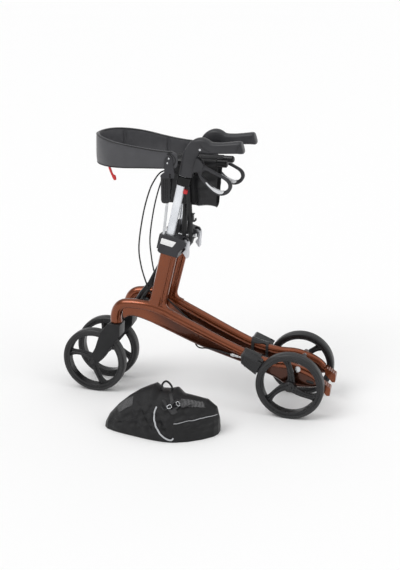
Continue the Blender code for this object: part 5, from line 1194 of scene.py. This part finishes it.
lever = {"outer": [(.0236, .7263), (.0351, .7320), (.0570, .7203), (.0962, .7016), (.1195, .6875),
                   (.1258, .6693), (.1141, .6501), (.0925, .6430), (.0701, .6511), (.0469, .6733),
                   (.0297, .6935), (.0241, .7158)],
         "hole": [(.0378, .7006), (.0489, .7112), (.0728, .7026), (.1006, .6895), (.1125, .6794),
                  (.1143, .6673), (.1062, .6582), (.0927, .6557), (.0772, .6612), (.0565, .6804)],
         "half": .0055, "y": .073749,
         "inset": [(.0525, .6800), (.0640, .6702), (.0772, .6622), (.0927, .6566), (.1025, .6572),
                   (.1000, .6505), (.0885, .6485), (.0740, .6550), (.0600, .6668), (.0515, .6760)]}


def byAngle(outline, centre, count):
    # the outline read at even angles about the centre
    ring = curvedOutline(outline, 720)
    angle = np.arctan2(ring[:, 1] - centre[1], ring[:, 0] - centre[0])
    order = np.argsort(angle)
    at = np.linspace(-np.pi, np.pi, count, endpoint=False)
    return np.stack([np.interp(at, angle[order], column, period=2 * np.pi)
                     for column in ring[order].T], 1)


def loopGrid(spec, y):
    # soft section of power 3 between the outer line and the hole, closed both ways
    centre = np.mean(spec["hole"], axis=0)
    outer, hole = byAngle(spec["outer"], centre, 150), byAngle(spec["hole"], centre, 150)
    ring = softRing(1.0, 1.0, 20, 3.0)
    mid, half = (outer + hole) / 2, (outer - hole) / 2
    x = mid[None, :, 0] + half[None, :, 0] * ring[:, :1]
    z = mid[None, :, 1] + half[None, :, 1] * ring[:, :1]
    return np.stack([x, y + spec["half"] * ring[:, 1:] + 0 * x, z], 2)


def buildLever(word):
    y, side = -lever["y"], lever["half"] + .0004
    sidePiece(word, "brakeLeverSkin", [shell(loopGrid(lever, y), loop=True)], "leverPlastic",
              "lever", ["brake_lever"])
    strip = slab(curvedOutline(lever["inset"], 70), y - side, y + side, .0006)
    sidePiece(word, "leverInset", [strip], "paleInset", "lever", sharp=35.0)


bothSides(buildLever)
print("stage: handles and levers")


clamp = {"window": [(-.0175, .0190), (.0270, .0195), (.0190, .0015), (-.0185, .0015)],
         "y": .062943, "half": .0215}


def buildClamp(word):
    # blank white scale plate on the housing's outer face
    face = -clamp["y"] - clamp["half"]
    plate = roundedProfile([raked(b, a) for b, a in clamp["window"]], .0025)
    sidePiece(word, "scalePlate", [slab(plate, face - .0002, face + .0012, .0003)], "whitePlate",
              "side", sharp=35.0)


bothSides(buildClamp)
print("stage: clamps")


def handleLines(word):
    # two moulding lines half sunk in the handle's near face, and a screw head between them
    share = np.linspace(0, 1, 24)
    seams = []
    for (start, end), (turn, last) in handle["seams"]:
        path = onHandle(start + (end - start) * share, turn + (last - turn) * share, 0.0001)
        seams.append(shell(cordGrid(through(path, 60), 0.0007, 8)))
    sidePiece(word, "handleSeams", seams, "leatherPiping", "handle", sharp=60.0)
    spot = onHandle(np.array([.475]), np.array([288]), 0.0)[0]
    sidePiece(word, "handleScrew", [shell(turnedGrid(handle["screw"], spot, "Y", 24))],
              "zincSteel", "handle", sharp=35.0)


collar = {
    # heights, and how far it stands out at each
    "rings": [(.6650, -.0012), (.6665, .0004), (.6690, .0008), (.6883, .0008), (.6905, .0004),
              (.6913, -.0010)],
    "long": .0186, "wide": .0143, "shift": .0053}


def buildCollar(word):
    # ring of power 3.2 round the tube at each height, its long side square to the rake
    rows = []
    for z, grow in collar["rings"]:
        ring = softRing(collar["long"] + grow, collar["wide"] + grow, 64, 3.2)
        x = postX(z) + collar["shift"] + ring[:, 0] * math.cos(rake)
        rows.append(np.stack([x, ring[:, 1] - postY(z), z - ring[:, 0] * math.sin(rake)], 1))
    sidePiece(word, "collarSkin", [shell(rows)], "glossBlack", "handle", ["height_collar"], 50.0)


tail = {"slot": (.3610, .1060), "half": (.0118, .0046), "tilt": -14.0, "apart": .0070,
        "cap": [(.000036, .0026), (.000792, .0026), (.000936, .0018), (.00216, .0018),
                (.002376, .0011), (.003096, .0008), (.00324, .0002), (.00324, .0010),
                (.000036, .0010)]}


def buildTail(word):
    # dark oval grip through the frame's tail, with two bright screws on each face
    (x, z), tilt = tail["slot"], math.radians(tail["tilt"])
    y, half = -frameY(x, z), np.interp(x, *zip(*sideFrame["thick"]))
    outline = rotated(softRing(*tail["half"], 48, 2.6), tilt) + (x, z)
    sidePiece(word, "tailGrip", [slab(outline, y - half - .0012, y + half + .0012, .0008)],
              "blackPlastic", "side")
    screws = []
    for shift in (-tail["apart"], tail["apart"]):
        for side in (-1, 1):
            cap = [(r, -side * h) for r, h in tail["cap"]]
            place = (x + shift * math.cos(tilt), y + side * (half + .0014),
                     z + shift * math.sin(tilt))
            screws.append(shell(turnedGrid(cap, place, "Y", 20)))
    sidePiece(word, "tailScrews", screws, "zincSteel", "side")


bracket = {"rivets": [(-.0480, .7455), (-.0520, .7330)],
           "screws": [(-.0450, .7010), (-.0455, .6945)], "face": -.10395, "slope": .1221,
           "dome": [(.0001, -.0016), (.0014, -.0014), (.0024, -.0007), (.0028, .0003),
                    (.0028, .0016), (.0001, .0016)]}


def buildBracketPins(word):
    # two domed rivets above and two dark screws below on the backrest's arm
    body = "left_side" if word == "left" else "backrest_end"
    for name, key, finish in (("bracketRivets", "rivets", "zincSteel"),
                              ("bracketScrews", "screws", "glossBlack")):
        pins = []
        for x, z in bracket[key]:
            y = bracket["face"] - (backrest["endX"] - x) * bracket["slope"]
            pins.append(shell(turnedGrid(bracket["dome"], (x, y, z), "Y", 24)))
        makePiece(f"{name}_{word}", pins, finish, body, sharp=40.0, mirror=word == "right")


plug = [(.0001, .1030), (.0030, .1030), (.0052, .1022), (.0062, .1008), (.0090, .1004),
        (.0099, .0994), (.0100, .0975), (.0085, .0960), (.0001, .0960)]


def buildRail(word):
    # a turned plug in each end of a seat rail, shown beyond the cloth
    arm = "rear_brace_arm" if word == "left" else "front_brace_arm"
    plugs = [shell(turnedGrid(profile, (0, -seat["railY"], seat["railZ"]), "X", 32))
             for profile in (plug, [(r, -.0005 - h) for r, h in plug])]
    makePiece(f"railPlugs_{word}", plugs, "glossBlack", arm, sharp=40.0, mirror=word == "right")


bothSides(handleLines, buildCollar, buildTail, buildBracketPins, buildRail)
print("stage: small fittings")


ground = {"reach": 60.0, "tone": 0.93, "rough": 0.9, "spec": 0.1}


def makeFloor(spec):
    mesh = bpy.data.meshes.new("paleFloor")
    s = spec["reach"]
    mesh.from_pydata([(-s, -s, 0), (s, -s, 0), (s, s, 0), (-s, s, 0)], [], [(0, 1, 2, 3)])
    paint = bpy.data.materials.new("paleFloor")
    paint.use_nodes = True
    shader = paint.node_tree.nodes["Principled BSDF"]
    shader.inputs["Base Color"].default_value = (spec["tone"],) * 3 + (1.0,)
    shader.inputs["Roughness"].default_value = spec["rough"]
    shader.inputs["Specular IOR Level"].default_value = spec["spec"]
    mesh.materials.append(paint)
    addObject("paleFloor", mesh)


makeFloor(ground)
